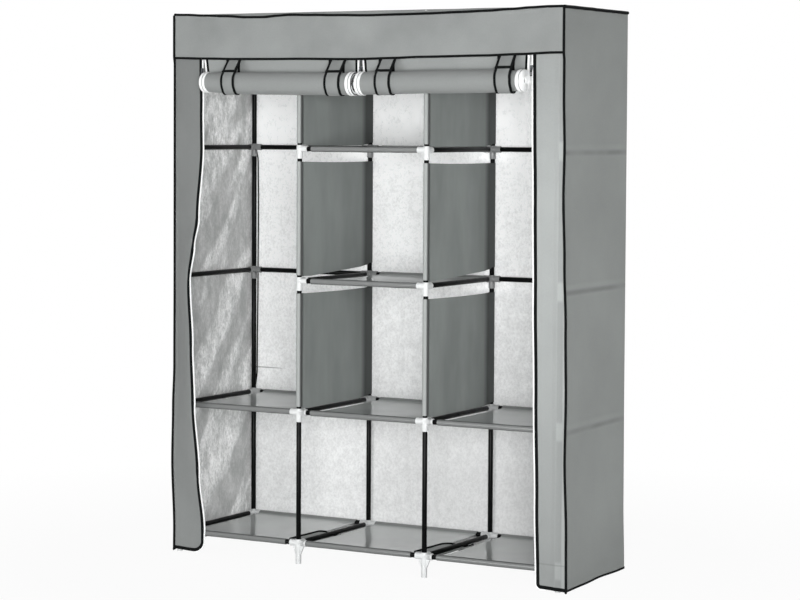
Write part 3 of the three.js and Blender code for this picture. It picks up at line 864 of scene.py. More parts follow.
def swept(name, path, across, section):
    """A section carried along a path. across gives the section's first direction at each point."""
    path = [Vector(point) for point in path]
    count = len(path)
    vertices = []
    for k, point in enumerate(path):
        ahead = path[min(k + 1, count - 1)]
        behind = path[max(k - 1, 0)]
        run = (ahead - behind).normalized()
        wide = Vector(across[k] if isinstance(across, list) else across)
        wide = (wide - run * wide.dot(run)).normalized()
        up = run.cross(wide)
        vertices += [tuple(point + wide * w + up * t) for w, t in section]
    sides = len(section)
    faces = []
    for k in range(count - 1):
        for j in range(sides):
            nxt = (j + 1) % sides
            faces.append((k * sides + j, k * sides + nxt, (k + 1) * sides + nxt, (k + 1) * sides + j))
    faces.append(tuple(reversed(range(sides))))
    faces.append(tuple((count - 1) * sides + j for j in range(sides)))
    return from_lists(name, vertices, faces)


TOOTH_PITCH = 0.0026
TOOTH_SIZE = (0.0022, 0.0013, 0.0019)
TOOTH_NARROWING = 0.7
BOX_CORNERS = (
    (-1, -1, -1), (1, -1, -1), (1, 1, -1), (-1, 1, -1),
    (-1, -1, 1), (1, -1, 1), (1, 1, 1), (-1, 1, 1),
)
BOX_FACES = ((0, 3, 2, 1), (4, 5, 6, 7), (0, 1, 5, 4), (1, 2, 6, 5), (2, 3, 7, 6), (3, 0, 4, 7))


def teeth(name, path, across):
    """A row of zip teeth along a path."""
    vertices, faces = [], []
    travelled, wanted = 0.0, 0.0
    wide, long, deep = (part / 2 for part in TOOTH_SIZE)
    for start, end, beside in zip(path, path[1:], across):
        length = (end - start).length
        run = (end - start).normalized()
        beside = (beside - run * beside.dot(run)).normalized()
        up = run.cross(beside)
        while wanted <= travelled + length:
            middle = start + run * (wanted - travelled)
            first = len(vertices)
            for a, b, c in BOX_CORNERS:
                narrow = TOOTH_NARROWING if a > 0 else 1.0
                tip = middle + beside * wide * a
                tip += up * deep * b * narrow
                tip += run * long * c * narrow
                vertices.append(tuple(tip))
            faces += [tuple(first + v for v in face) for face in BOX_FACES]
            wanted += TOOTH_PITCH
        travelled += length
    return from_lists(name, vertices, faces)


def has_rail(column, level, is_rear):
    return is_rear or column == CENTRE_COLUMN or level not in OPEN_LEVELS


# The steel frame


HALF_TURN = Matrix.Rotation(math.pi, 4, "Z")
TUBE_ROUNDING = 0.0003
TUBE_HOLLOW = 0.012
SOCKET_ROUNDING = 0.0013
FOOT_ROUNDING = 0.0012
TEE_ROUNDING = 0.0012
CONNECTOR_SMOOTHING = 32
# The collar at an arm's mouth: its thickness, and its start and end back from the mouth
COLLAR_THICKNESS = 0.0004
COLLAR_START, COLLAR_END = 0.0055, 0.0006
# Seats of the post tubes above and below a connector's middle, and how far a bore is cut past its mouth
UPPER_SEAT, LOWER_SEAT = 0.002, -0.006
BORE_OVERRUN = 0.002
POST_TUBE_START, POST_TUBE_GAP = 0.0025, 0.0065
# The webs beside a foot, about its connector's middle
WEB_REACH = 0.0195
WEB_HALF_THICKNESS = 0.003
WEB_BOTTOM, WEB_TOP = -0.035, -0.0073


def tube_between(start, end, name):
    """A steel tube with open, softly rimmed ends."""
    sizes = frame_sizes()
    piece = round_bar(sizes.tube_radius, start, end, sizes.sides)
    axis = max(range(3), key=lambda k: abs(end[k] - start[k]))
    bevel_rims(piece, axis, TUBE_ROUNDING)
    pick(piece, faces=lambda face: abs(face.normal[axis]) > 0.95 and len(face.verts) > 4)
    bpy.ops.mesh.inset(thickness=sizes.tube_wall)
    bpy.ops.mesh.extrude_region_shrink_fatten(TRANSFORM_OT_shrink_fatten={"value": -TUBE_HOLLOW})
    done()
    smooth(piece)
    piece.name = name
    return piece


def socket_arm(end, axis):
    """A connector's arm from its middle, with a rounded mouth and a thicker collar round it."""
    sizes = frame_sizes()
    start, end = Vector(), Vector(end)
    arm = round_bar(sizes.socket_radius, start, end, sizes.sides)
    bevel_rims(arm, axis, SOCKET_ROUNDING, 3)
    outward = end.normalized()
    radius = sizes.socket_radius + COLLAR_THICKNESS
    collar = round_bar(radius, end - outward * COLLAR_START, end - outward * COLLAR_END, sizes.sides)
    bevel_rims(collar, axis, COLLAR_THICKNESS, 1)
    return [arm, collar]


def connector(sides, level):
    """A post's connector at the world's origin, with its third arm towards +Y."""
    sizes = frame_sizes()
    is_bottom, is_top = level == 0, level == TOP_LEVEL
    crown = sizes.socket_radius if is_top else sizes.upper_sleeve
    base = round_bar(sizes.socket_radius, (0, 0, -sizes.lower_sleeve), (0, 0, crown), sizes.sides)
    bevel_rims(base, 2, SOCKET_ROUNDING, 3)
    parts, bores = [], []
    reach, stop = sizes.arm_length, sizes.socket_stop
    past = reach + BORE_OVERRUN

    def bore(start, end):
        bores.append(round_bar(sizes.bore_radius, start, end, sizes.sides))

    parts += socket_arm((0, reach, 0), 1)
    bore((0, stop, 0), (0, past, 0))
    for side in sides:
        parts += socket_arm((side * reach, 0, 0), 0)
        bore((side * stop, 0, 0), (side * past, 0, 0))
    if not is_top:
        bore((0, 0, UPPER_SEAT), (0, 0, crown + BORE_OVERRUN))
    if not is_bottom:
        bore((0, 0, LOWER_SEAT), (0, 0, -sizes.lower_sleeve - BORE_OVERRUN))
    if is_bottom:
        shaft = round_bar(sizes.foot_radius, (0, 0, -LEVEL_Z[0]), (0, 0, -0.01), sizes.sides)
        bevel_rims(shaft, 2, FOOT_ROUNDING)
        parts.append(shaft)
        parts += [foot_web(side) for side in sides]
    combine(base, parts, "UNION")
    combine(base, bores, "DIFFERENCE")
    smooth(base, CONNECTOR_SMOOTHING)
    return base


def foot_web(side):
    """The web under an arm of a lowest connector, drawn in towards the foot's shaft."""
    sizes = frame_sizes()
    left, right = (0.0, WEB_REACH) if side > 0 else (-WEB_REACH, 0.0)
    web = box_piece((left, -WEB_HALF_THICKNESS, WEB_BOTTOM), (right, WEB_HALF_THICKNESS, WEB_TOP))
    pick(web, verts=lambda vert: vert.co.z < -0.03 and abs(vert.co.x) > 0.01)
    bpy.ops.transform.translate(value=(-side * (WEB_REACH - sizes.foot_radius + 0.0008), 0, 0))
    done()
    pick(web, edges=lambda edge: abs((edge.verts[0].co - edge.verts[1].co).y) < 0.001)
    bpy.ops.mesh.bevel(offset=0.0006, segments=1, affect="EDGES")
    done()
    return web


def arms_at(post, level, is_rear):
    """The sides, -1 left and 1 right, on which a post's connector carries a rail."""
    found = []
    for side, column in ((-1, post - 1), (1, post)):
        if 0 <= column < len(COLUMN_NAMES) and has_rail(column, level, is_rear):
            found.append(side)
    return tuple(found)


class WARDROBE_OT_side_frames(bpy.types.Operator):
    """Build the four side frames: black tubes in white connectors"""

    bl_idname = "wardrobe.side_frames"
    bl_label = "Side frames"

    def execute(self, context):
        stop = frame_sizes().socket_stop
        pitch = LEVEL_Z[1] - LEVEL_Z[0]
        post_tube = tube_between((0, 0, POST_TUBE_START), (0, 0, pitch - POST_TUBE_GAP), "post tube")
        depth_tube = tube_between((0, FRONT_Y + stop, 0), (0, REAR_Y - stop, 0), "depth tube")
        kinds = {}
        for post, name in enumerate(POST_NAMES):
            post_x = POST_X[post]
            tubes, fittings = [], []
            for row_y, is_rear in ((FRONT_Y, False), (REAR_Y, True)):
                for level, z in enumerate(LEVEL_Z):
                    sides = arms_at(post, level, is_rear)
                    if is_rear:
                        sides = tuple(sorted(-side for side in sides))
                    kind = (sides, level if level in (0, TOP_LEVEL) else 1)
                    if kind not in kinds:
                        kinds[kind] = connector(*kind)
                    place = (post_x, row_y, z)
                    fittings.append(copied(kinds[kind], "fitting", place, HALF_TURN if is_rear else None))
                    if level < TOP_LEVEL:
                        tubes.append(copied(post_tube, "tube", place))
            tubes += [copied(depth_tube, "tube", (post_x, 0, z)) for z in LEVEL_Z]
            node = f"side_frame_{name}"
            fit(joined(tubes, f"posts_and_depth_rails_{name}"), "tube", "tube", node=node)
            fit(joined(fittings, f"connectors_{name}"), "connector", "connector", node=node)
        remove(post_tube, depth_tube, *kinds.values())
        return {"FINISHED"}


class WARDROBE_OT_rails(bpy.types.Operator):
    """Build the rails that run from left to right"""

    bl_idname = "wardrobe.rails"
    bl_label = "Rails"

    def execute(self, context):
        half = (POST_X[1] - POST_X[0]) / 2 - frame_sizes().socket_stop
        pattern = tube_between((-half, 0, 0), (half, 0, 0), "rail")
        for level, level_name in enumerate(LEVEL_NAMES):
            for row_name, row_y in (("front", FRONT_Y), ("rear", REAR_Y)):
                for column, column_name in enumerate(COLUMN_NAMES):
                    if not has_rail(column, level, row_name == "rear"):
                        continue
                    place = f"{level_name}_{row_name}_{column_name}"
                    middle = (POST_X[column] + POST_X[column + 1]) / 2
                    rail = copied(pattern, f"tube_{place}", (middle, row_y, LEVEL_Z[level]))
                    fit(rail, "tube", "tube", node=f"rail_{place}")
        remove(pattern)
        return {"FINISHED"}


class WARDROBE_OT_hanging_rods(bpy.types.Operator):
    """Build the two hanging rods and the tees that carry them"""

    bl_idname = "wardrobe.hanging_rods"
    bl_label = "Hanging rods"

    def execute(self, context):
        sizes = frame_sizes()
        stop, width, mouth = sizes.socket_stop, sizes.tee_width, sizes.arm_length + BORE_OVERRUN
        middle_y, z = (FRONT_Y + REAR_Y) / 2, LEVEL_Z[-1]
        tee = round_bar(sizes.socket_radius, (0, -width / 2, 0), (0, width / 2, 0), sizes.sides)
        bevel_rims(tee, 1, TEE_ROUNDING, 3)
        combine(tee, socket_arm((sizes.arm_length, 0, 0), 0), "UNION")
        bores = [
            round_bar(sizes.bore_radius, (0, -width, 0), (0, width, 0), sizes.sides),
            round_bar(sizes.bore_radius, (stop, 0, 0), (mouth, 0, 0), sizes.sides),
        ]
        combine(tee, bores, "DIFFERENCE")
        smooth(tee, CONNECTOR_SMOOTHING)
        for column in (0, 2):
            name = COLUMN_NAMES[column]
            left, right = POST_X[column], POST_X[column + 1]
            rod = tube_between((left + stop, middle_y, z), (right - stop, middle_y, z), f"rod_tube_{name}")
            near = copied(tee, "tee", (left, middle_y, z))
            far = copied(tee, "tee", (right, middle_y, z), HALF_TURN)
            fit(rod, "tube", "tube", node=f"hanging_rod_{name}")
            tees = joined([near, far], f"rod_tees_{name}")
            fit(tees, "connector", "connector", node=f"hanging_rod_{name}")
        remove(tee)
        return {"FINISHED"}


# Shelves and dividers


SHEET_SMOOTHING = 50
SLEEVE_SEAM = 0.0150
# How far a shelf lies to one side between its posts, by the gap at its left
SHELF_SHIFT = 0.002
SHELF_GAP = 0.034
# How much less a shelf sags at its edges
EDGE_TAUTNESS = 0.7


def sleeve_arc(first, last, steps, radius):
    """Points on a sleeve as (along, up) pairs, the angles in degrees."""
    angles = [math.radians(first + (last - first) * k / steps) for k in range(steps + 1)]
    return [(radius * math.cos(angle), radius * math.sin(angle)) for angle in angles]


def shelf_path(sag):
    """A shelf's outer face from front to rear, as (y, z) pairs about its level: the flap under
    the sheet, round the front tube, down to the seam, the sagging sheet and the rear sleeve."""
    radius = cloth_sizes().sleeve_radius
    seam, flap_end = SLEEVE_SEAM, 0.0205

    def sheet_z(y):
        share = 2 * (y - FRONT_Y) / (REAR_Y - FRONT_Y) - 1
        fall = 0.0012 - sag * (1 - share * share)
        nearest = min(abs(y - FRONT_Y - seam), abs(REAR_Y - seam - y))
        return fall - 0.0006 * math.exp(-((nearest / 0.0016) ** 2))

    front = [(FRONT_Y + flap_end, sheet_z(FRONT_Y + flap_end) - 0.0032)]
    front += [(FRONT_Y + seam, sheet_z(FRONT_Y + seam) - 0.0028), (FRONT_Y + 0.0105, -0.0046)]
    front += [(FRONT_Y + y, z) for y, z in sleeve_arc(-48, -312, 26, radius)]
    front += [(FRONT_Y + 0.0092, 0.0042), (FRONT_Y + 0.0120, 0.0022)]
    steps = [0.0140, 0.0150, 0.0160, 0.0180, 0.0205, 0.024, 0.030, 0.038, 0.05]
    span = REAR_Y - FRONT_Y
    middle = [0.05 + (span - 0.10) * k / 16 for k in range(1, 16)]
    places = steps + middle + [span - y for y in reversed(steps)]
    sheet = [(FRONT_Y + y, sheet_z(FRONT_Y + y)) for y in places]
    mirrored = [(FRONT_Y + REAR_Y - y, z) for y, z in reversed(front)]
    return front + sheet + mirrored


def path_length(points):
    return sum((Vector(b) - Vector(a)).length for a, b in zip(points, points[1:]))


class WARDROBE_OT_shelves(bpy.types.Operator):
    """Build the cloth shelves with their sleeves and seams"""

    bl_idname = "wardrobe.shelves"
    bl_label = "Shelves"

    def execute(self, context):
        sizes = cloth_sizes()
        for level in range(TOP_LEVEL):
            for column, column_name in enumerate(COLUMN_NAMES):
                if not has_rail(column, level, False):
                    continue
                place = f"{LEVEL_NAMES[level]}_{column_name}"
                low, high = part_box(f"shelf_{place}")
                seed = level * 3.1 + column
                left_gap = low.x - POST_X[column]
                start_x = low.x + (SHELF_SHIFT if left_gap > SHELF_GAP else -SHELF_SHIFT)
                width = high.x - low.x
                path = shelf_path(sizes.shelf_sag + 0.001 * ripple(seed, 0, 0, 1.3))

                def outer(u, v):
                    y, z = path[round(v * (len(path) - 1))]
                    share = (y - FRONT_Y) / (REAR_Y - FRONT_Y)
                    open_cloth = math.sin(math.pi * min(1, max(0, share)))
                    at_edge = abs(2 * u - 1) ** 4
                    hung = sizes.shelf_sag * (1 - (2 * share - 1) ** 2)
                    drop = EDGE_TAUTNESS * hung * at_edge * (1 if 0 < share < 1 else 0)
                    wave = 0.0013 * ripple(u * 0.34, y, seed, 0.11) * open_cloth
                    curl = 0.0006 * ripple(u * 0.34, seed, 0, 0.05)
                    lifted = drop + wave + curl * (1 - open_cloth)
                    return (start_x + width * u, y, LEVEL_Z[level] + z + lifted)

                shelf = cloth(f"cloth_shelf_{place}", 24, len(path) - 1, outer, sizes.panel)
                smooth(shelf, SHEET_SMOOTHING)
                fit(shelf, "shelf_cloth", "shelf", node=f"shelf_{place}")
                stitches = stitch_rows(f"stitches_shelf_{place}", outer, path, width)
                fit(stitches, "shelf_cloth", "sleeve_thread")
                flat = (width, path_length(path))
        return {"FINISHED"}


# A tab's section under the rail beside it, as (across, up) pairs from the post and its level
TAB_SECTION = (
    (-0.033, 0.0016), (-0.028, 0.0006), (-0.022, -0.0022), (-0.016, -0.0060), (-0.010, -0.0094),
    (-0.003, -0.0110), (0.004, -0.0110), (0.009, -0.0098), (0.0135, -0.0072),
)
TAB_FRONT, TAB_REAR = 0.0125, 0.186


class WARDROBE_OT_shelf_tabs(bpy.types.Operator):
    """Build the bound tabs that pass from the lowest shelves' right edges under the next rail"""

    bl_idname = "wardrobe.shelf_tabs"
    bl_label = "Shelf tabs"

    def execute(self, context):
        for column, name, slant in ((0, "left", 0.030), (1, "centre", 0.080)):
            post = POST_X[column + 1]
            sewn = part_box(f"shelf_bottom_{name}")[1].x - SHELF_SHIFT - post
            section = [(sewn - 0.005, 0.0022), (sewn + 0.002, 0.0022), *TAB_SECTION]

            def outer(u, v):
                d, z = section[round(u * (len(section) - 1))]
                start, end = FRONT_Y + TAB_FRONT, FRONT_Y + TAB_REAR + slant * u
                ruffle = 0.0006 * ripple(d, v, 0, 0.3) * (1 - u)
                height = LEVEL_Z[0] + z - 0.0016 * v * (1 - u) + ruffle
                return (post + d, start + (end - start) * v, height)

            tab = cloth(f"tab_{name}", len(section) - 1, 20, outer, 0.0010)
            smooth(tab, SHEET_SMOOTHING)
            fit(tab, "shelf_cloth", "shelf_tab")
            marks = [(0.0, v) for v in spread(0.08, 1.0, 12)] + [(u, 1.0) for u in spread(0.1, 1.0, 10)]
            edge = rim_trim(f"tab_binding_{name}", outer, marks, True, flat_section(0.0064, 0.0030), 0.0016)
            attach(edge, "wardrobe")
            across = path_length(section)
        return {"FINISHED"}


STITCH_PITCH = 0.0065
STITCH_ENDS = (0.2, 0.8)
STITCH_RISES = (0.0001, 0.0006, 0.0006, 0.0001)
STITCH_HALF_WIDTH = 0.0005
STITCH_DEPTH = 0.0004


def stitch_rows(name, outer, path, width):
    """The two rows of stitches that close a shelf's sleeves."""
    count = int(width / STITCH_PITCH)
    ends = (FRONT_Y + SLEEVE_SEAM, REAR_Y - SLEEVE_SEAM)
    vertices, faces = [], []
    for row, (y, z) in enumerate(path):
        if z <= -0.002 or min(abs(y - end) for end in ends) >= 0.0002:
            continue
        v = row / (len(path) - 1)
        for k in range(count):
            start, end = (Vector(outer((k + share) / count, v)) for share in STITCH_ENDS)
            run = end - start
            first = len(vertices)
            for point, rise in zip((start, start + run * 0.3, start + run * 0.7, end), STITCH_RISES):
                for across in (-STITCH_HALF_WIDTH, STITCH_HALF_WIDTH):
                    vertices.append((point.x, point.y + across, point.z + rise))
                    vertices.append((point.x, point.y + across, point.z - STITCH_DEPTH))
            for a in (first, first + 4, first + 8):
                faces += [(a, a + 4, a + 6, a + 2), (a + 1, a + 3, a + 7, a + 5)]
                faces += [(a, a + 1, a + 5, a + 4), (a + 2, a + 6, a + 7, a + 3)]
            faces.append((first, first + 2, first + 3, first + 1))
            faces.append((first + 12, first + 13, first + 15, first + 14))
    return from_lists(name, vertices, faces)


def divider_path(post_x):
    """A divider's outer face seen from above, as (x, y) pairs: a flap, round the front post,
    the sheet and the rear sleeve."""
    radius = cloth_sizes().sleeve_radius
    front = [(-0.0017, 0.026), (-0.0017, 0.0215), (-0.0036, 0.016), (-0.0064, 0.0095)]
    front += [(-x, y) for y, x in sleeve_arc(62, 298, 24, radius)]
    front += [(0.0058, 0.0105), (0.0032, 0.016), (0.0016, 0.0195)]
    front += [(0.0011, 0.0212), (0.0014, 0.023), (0.0014, 0.027)]
    span = REAR_Y - FRONT_Y
    sheet = [(0.0012, 0.027 + (span - 0.054) * k / 14) for k in range(1, 14)]
    rear = [(x, span - y) for x, y in reversed(front)]
    return [(post_x + x, FRONT_Y + y) for x, y in front + sheet + rear]


# A divider's foot: its height above the rails, and where it reaches down beside the posts,
# both by the share of the depth from the nearer post
DIVIDER_FOOT = ((0.07, 0.0112), (0.12, 0.0088))
DIVIDER_LEG = ((0.028, 1.0), (0.04, 0.0))
DIVIDER_HITCH = 0.018


class WARDROBE_OT_dividers(bpy.types.Operator):
    """Build the upright cloth dividers that are sleeved on the inner posts"""

    bl_idname = "wardrobe.dividers"
    bl_label = "Dividers"

    def execute(self, context):
        for level in (1, 2, 3):
            for side_name, post in (("left", 1), ("right", 2)):
                node = f"divider_{LEVEL_NAMES[level]}_{side_name}"
                low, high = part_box(node)
                path = divider_path(POST_X[post])
                seed = level * 2.3 + post

                def outer(u, v):
                    x, y = path[round(u * (len(path) - 1))]
                    share = min(1, max(0, (y - FRONT_Y) / (REAR_Y - FRONT_Y)))
                    slack = math.sin(math.pi * share)
                    bow = 0.004 * slack * ripple(seed, y, v * 0.3, 0.23)
                    from_end = min(share, 1 - share)
                    above_rail = curve_value(DIVIDER_FOOT, from_end)
                    by_post = curve_value(DIVIDER_LEG, from_end)
                    hitched = DIVIDER_HITCH * share if level == 2 else 0.0
                    foot = LEVEL_Z[level] + above_rail
                    foot += (low.z - LEVEL_Z[level] - above_rail) * by_post
                    foot += hitched
                    head = high.z - 0.003 * share - 0.002 * slack
                    return (x + bow, y, foot + (head - foot) * v)

                divider = cloth(f"cloth_{node}", len(path) - 1, 18, outer, cloth_sizes().panel)
                smooth(divider, SHEET_SMOOTHING)
                fit(divider, "divider_cloth", "divider", node=node)
                flat = (path_length(path), high.z - low.z)
        return {"FINISHED"}


# The cover


def corner(side, z):
    """A front corner of the cover at a height."""
    if side < 0:
        out, forward = curve_value(LEFT_CORNER_OUT, z), curve_value(LEFT_CORNER_FORWARD, z)
    else:
        out, forward = curve_value(RIGHT_CORNER_OUT, z), curve_value(RIGHT_CORNER_FORWARD, z)
    return Vector((side * (COVER_HALF_WIDTH + out), FACE_Y - forward, z))


def rail_crease(z, width=0.015):
    """1 where the cloth lies against a level's rails, and 0 between levels."""
    return max(math.exp(-(((z - level) / width) ** 2)) for level in LEVEL_Z)


CORNER_RADIUS = 0.010
SIDE_COLUMNS = 26
CORNER_COLUMNS = 6
# How the sides hang: the arch of the left one's hem, the hollow and the waves between the rails,
# the waves of the hem, and the slanting folds in the lower part of the left one
SIDE_HEM_ARCH = 0.016
SIDE_HOLLOW = 0.0045
SIDE_WAVES = 0.0035
SIDE_HEM_WAVES = 0.003
SIDE_FOLDS, SIDE_FOLD_PITCH, SIDE_FOLD_TOP = 0.0045, 0.19, 1.1


def side_surface(side):
    """A side's outer face. The rear corner is rounded and ends at the back's seam."""
    flat = 1 - CORNER_COLUMNS / SIDE_COLUMNS

    def outer(u, v):
        s = u if side > 0 else 1 - u
        straight = min(1.0, s / flat)
        raised = SIDE_HEM_ARCH * math.sin(math.pi * straight) ** 0.6 if side < 0 else 0.0
        z = HEM_Z + raised + (PANEL_TOP_Z - HEM_Z - raised) * v
        front = corner(side, z)
        rear_x = COVER_HALF_WIDTH + curve_value(REAR_CORNER_OUT, z)
        y = front.y + (BACK_Y - CORNER_RADIUS - front.y) * straight
        x = abs(front.x) + (rear_x - abs(front.x)) * straight
        open_cloth = math.sin(math.pi * straight)
        sink = SIDE_HOLLOW * open_cloth**0.8 * (1 - rail_crease(z))
        wave = SIDE_WAVES * ripple(side, y, z, 0.21, 3.0) * open_cloth * (1 - 0.8 * rail_crease(z))
        fold = 0.0
        if side < 0 and z < SIDE_FOLD_TOP:
            turned = (y * 1.25 + z) * math.tau / SIDE_FOLD_PITCH + 2 * ripple(0, y, z, 0.3)
            fold = SIDE_FOLDS * math.sin(turned) * open_cloth
            fold *= (1 - rail_crease(z)) * (1 - z / SIDE_FOLD_TOP)
        if s > flat:
            angle = (s - flat) / (1 - flat) * math.pi / 2
            x = rear_x - CORNER_RADIUS * (1 - math.cos(angle))
            y = BACK_Y - CORNER_RADIUS * (1 - math.sin(angle))
        hem = (1 - v) ** 12 * SIDE_HEM_WAVES * ripple(side, y, 0, 0.12, 5.0)
        return (side * (x - sink + wave + fold), y, z + hem)

    return outer


BACK_FOLDS, BACK_RIPPLES = 0.0026, 0.0012
BACK_CREASE_DEPTH, BACK_CREASE_HEIGHT = 0.002, 0.585


def back_surface(u, v):
    """The back's outer face. u runs from right to left."""
    half = COVER_HALF_WIDTH - CORNER_RADIUS - 0.0004
    x = half - 2 * half * u
    z = HEM_Z + (PANEL_TOP_Z - HEM_Z) * v
    inner = math.sin(math.pi * u) ** 0.4
    loose = (1 - rail_crease(z, 0.02)) * inner
    folds = BACK_FOLDS * (1 + ripple(x, 0, z, 0.24, 7.0))
    folds += BACK_RIPPLES * ripple(x * 2.2, 0, z * 0.6, 0.11, 9.0)
    from_crease = z - BACK_CREASE_HEIGHT - 0.02 * math.sin(x * 9)
    crease = BACK_CREASE_DEPTH * math.exp(-((from_crease / 0.006) ** 2))
    return (x, BACK_Y + max(0.0, folds * loose) - crease * loose, z)


ROOF_NEAR_Y = -0.170
ROOF_SLACK = 0.0042


def roof_surface(u, v):
    """The roof's outer face, lying on rails and rods and falling off in front of them."""
    x = -COVER_HALF_WIDTH + 2 * COVER_HALF_WIDTH * u
    if v < 0.25:
        y = VALANCE_Y + (ROOF_NEAR_Y - VALANCE_Y) * v / 0.25
    else:
        y = ROOF_NEAR_Y + (BACK_Y - ROOF_NEAR_Y) * (v - 0.25) / 0.75
    edge_share = max(0.0, (-0.172 - y) / (-0.172 - VALANCE_Y))
    sag = curve_value(ROOF_EDGE_SAG, x) * edge_share**1.9
    across = 0.0
    if abs(x) < POST_X[3]:
        across = abs(math.sin(math.pi * (x - POST_X[0]) / (POST_X[1] - POST_X[0])))
    halves = 2 if abs(x) > POST_X[2] else 1
    depth_share = min(1.0, max(0.0, (y - FRONT_Y) / (REAR_Y - FRONT_Y)))
    slack = ROOF_SLACK * across * abs(math.sin(math.pi * halves * depth_share))
    wave = 0.0008 * ripple(x, y, 0, 0.09, 2.0) * (1 - min(1.0, edge_share * 2))
    return (x, y, ROOF_Z - sag - slack + wave)


def valance_top(x):
    return ROOF_Z - curve_value(ROOF_EDGE_SAG, x)


def valance_bottom(x):
    return VALANCE_BOTTOM_Z - curve_value(VALANCE_SAG, x)


# How far the rolls push the valance out at its hem, its waves, and the bulge in its middle
VALANCE_PUSH = 0.014
VALANCE_WAVES = 0.0018
VALANCE_BULGE = 0.0016


def valance_surface(u, v):
    """The valance's outer face."""
    x = -COVER_HALF_WIDTH + 2 * COVER_HALF_WIDTH * u
    bottom = valance_bottom(x) + 0.0006 * ripple(x, 0, 0, 0.23, 4.0)
    z = bottom + (valance_top(x) - bottom) * v
    loose = math.sin(math.pi * u) ** 0.3
    pushed = VALANCE_PUSH * min(1.0, (1 - abs(2 * u - 1)) * 5) ** 1.5 * (1 - v) ** 1.4
    wave = VALANCE_WAVES * (0.6 + ripple(x, 0, z, 0.26, 6.0)) * loose * (1 - v) ** 0.6
    bulge = VALANCE_BULGE * math.sin(math.pi * v) * loose
    return (x, VALANCE_Y - pushed - max(0.0, wave) - bulge, z)


STRIP_CORNER = 0.028
STRIP_WIDTH = COVER_HALF_WIDTH - STRIP_EDGE_X
# Where the right strip lies against the post behind it, and how deep
STRIP_GROOVE_X, STRIP_GROOVE_WIDTH, STRIP_GROOVE = 0.6125, 0.007, 0.0022


def strip_surface(side):
    """A front strip's outer face. The left one's free edge swings forward."""

    def outer(u, v):
        reach = u if side < 0 else 1 - u
        rounding = STRIP_CORNER if side < 0 else 0.45 * STRIP_CORNER
        into = max(0.0, reach * STRIP_WIDTH - (STRIP_WIDTH - rounding))
        lift = rounding - math.sqrt(max(0.0, rounding**2 - into**2))
        if side < 0:
            hem = 0.0090 - 0.0030 * math.sin(math.pi * min(1.0, reach / 1.35)) ** 2 + lift
        else:
            hem = 0.0066 + 0.002 * reach + lift
        z = hem + v * (PANEL_TOP_Z - hem)
        fixed = corner(side, z)
        if side < 0:
            share = curve_value(STRIP_SWING, z)
            out = cloth_sizes().swing * share * math.sin(reach * math.pi / 2) ** 1.7
            inset = curve_value(LEFT_EDGE_IN, z) * reach
            x = abs(fixed.x) - reach * (abs(fixed.x) - STRIP_EDGE_X + inset)
            forward = FACE_Y - fixed.y
            y = FACE_Y - forward * (1 - reach) - out
            ridge = 0.0015 * ripple(x, 0, z, 0.08, 1.0)
        else:
            edge_x = STRIP_EDGE_X + curve_value(RIGHT_EDGE_OUT, z)
            x = fixed.x - reach * (fixed.x - edge_x)
            y = FACE_Y - (FACE_Y - fixed.y) * (1 - reach)
            post = math.exp(-(((x - STRIP_GROOVE_X) / STRIP_GROOVE_WIDTH) ** 2))
            rail = rail_crease(z, 0.010) * min(1.0, reach * 4, (1 - reach) * 4)
            ridge = -STRIP_GROOVE * post - 0.0012 * rail + 0.0012 * ripple(x, 0, z, 0.10, 8.0)
        return (side * x, y + ridge * math.sin(math.pi * min(1.0, 0.15 + reach * 0.7)), z)

    return outer


def rim_line(surface, marks, clockwise, inset=0.0, lift=0.0):
    """Points along a cloth's rim at (u, v) marks, moved into the cloth, and the directions into it."""
    small = 0.004
    points, inward = [], []
    for k, (u, v) in enumerate(marks):
        u_in, v_in = min(u, 1 - small), min(v, 1 - small)
        here = Vector(surface(u, v))
        along_u = Vector(surface(u_in + small, v)) - Vector(surface(u_in, v))
        along_v = Vector(surface(u, v_in + small)) - Vector(surface(u, v_in))
        normal = along_u.cross(along_v).normalized()
        ahead = Vector(surface(*marks[min(k + 1, len(marks) - 1)]))
        behind = Vector(surface(*marks[max(k - 1, 0)]))
        run = (ahead - behind).normalized()
        into = run.cross(normal) if clockwise else normal.cross(run)
        points.append(here + into.normalized() * inset + normal * lift)
        inward.append(into.normalized())
    return points, inward


def spread(first, last, steps):
    return [first + (last - first) * k / steps for k in range(steps + 1)]


def trim(name, points, across, section, finish="binding", slot="binding"):
    """A swept binding, piping or tape."""
    piece = swept(name, points, across, section)
    smooth(piece, TRIM_SMOOTHING)
    dress(piece, slot, finish)
    return piece


def rim_trim(name, surface, marks, clockwise, section, inset, lift=0.0, finish="binding", slot="binding"):
    """A binding or tape along a cloth's rim."""
    points, inward = rim_line(surface, marks, clockwise, inset, lift)
    return trim(name, points, inward, section, finish, slot)


def rim_teeth(name, surface, marks, clockwise, inset):
    """A row of zip teeth beside a cloth's rim."""
    points, inward = rim_line(surface, marks, clockwise, inset, ZIP_LIFT)
    row = teeth(name, points, [-into for into in inward])
    dress(row, "zip_tape", "tape")
    return row


def flatten_strip(piece):
    """Give a piece of the swung left strip its own mesh."""
    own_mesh(piece)


TRIM_SMOOTHING = 60
ZIP_LIFT = 0.0002
HEM_TAPE = flat_section(0.0062, 0.0026)
VALANCE_TAPE = flat_section(0.0068, 0.0026)
SEAM_TAPE = flat_section(0.0044, 0.0014)
STRIP_ZIP_TAPE = flat_section(0.0056, 0.0011)
SIDES = ((-1, "left"), (1, "right"))


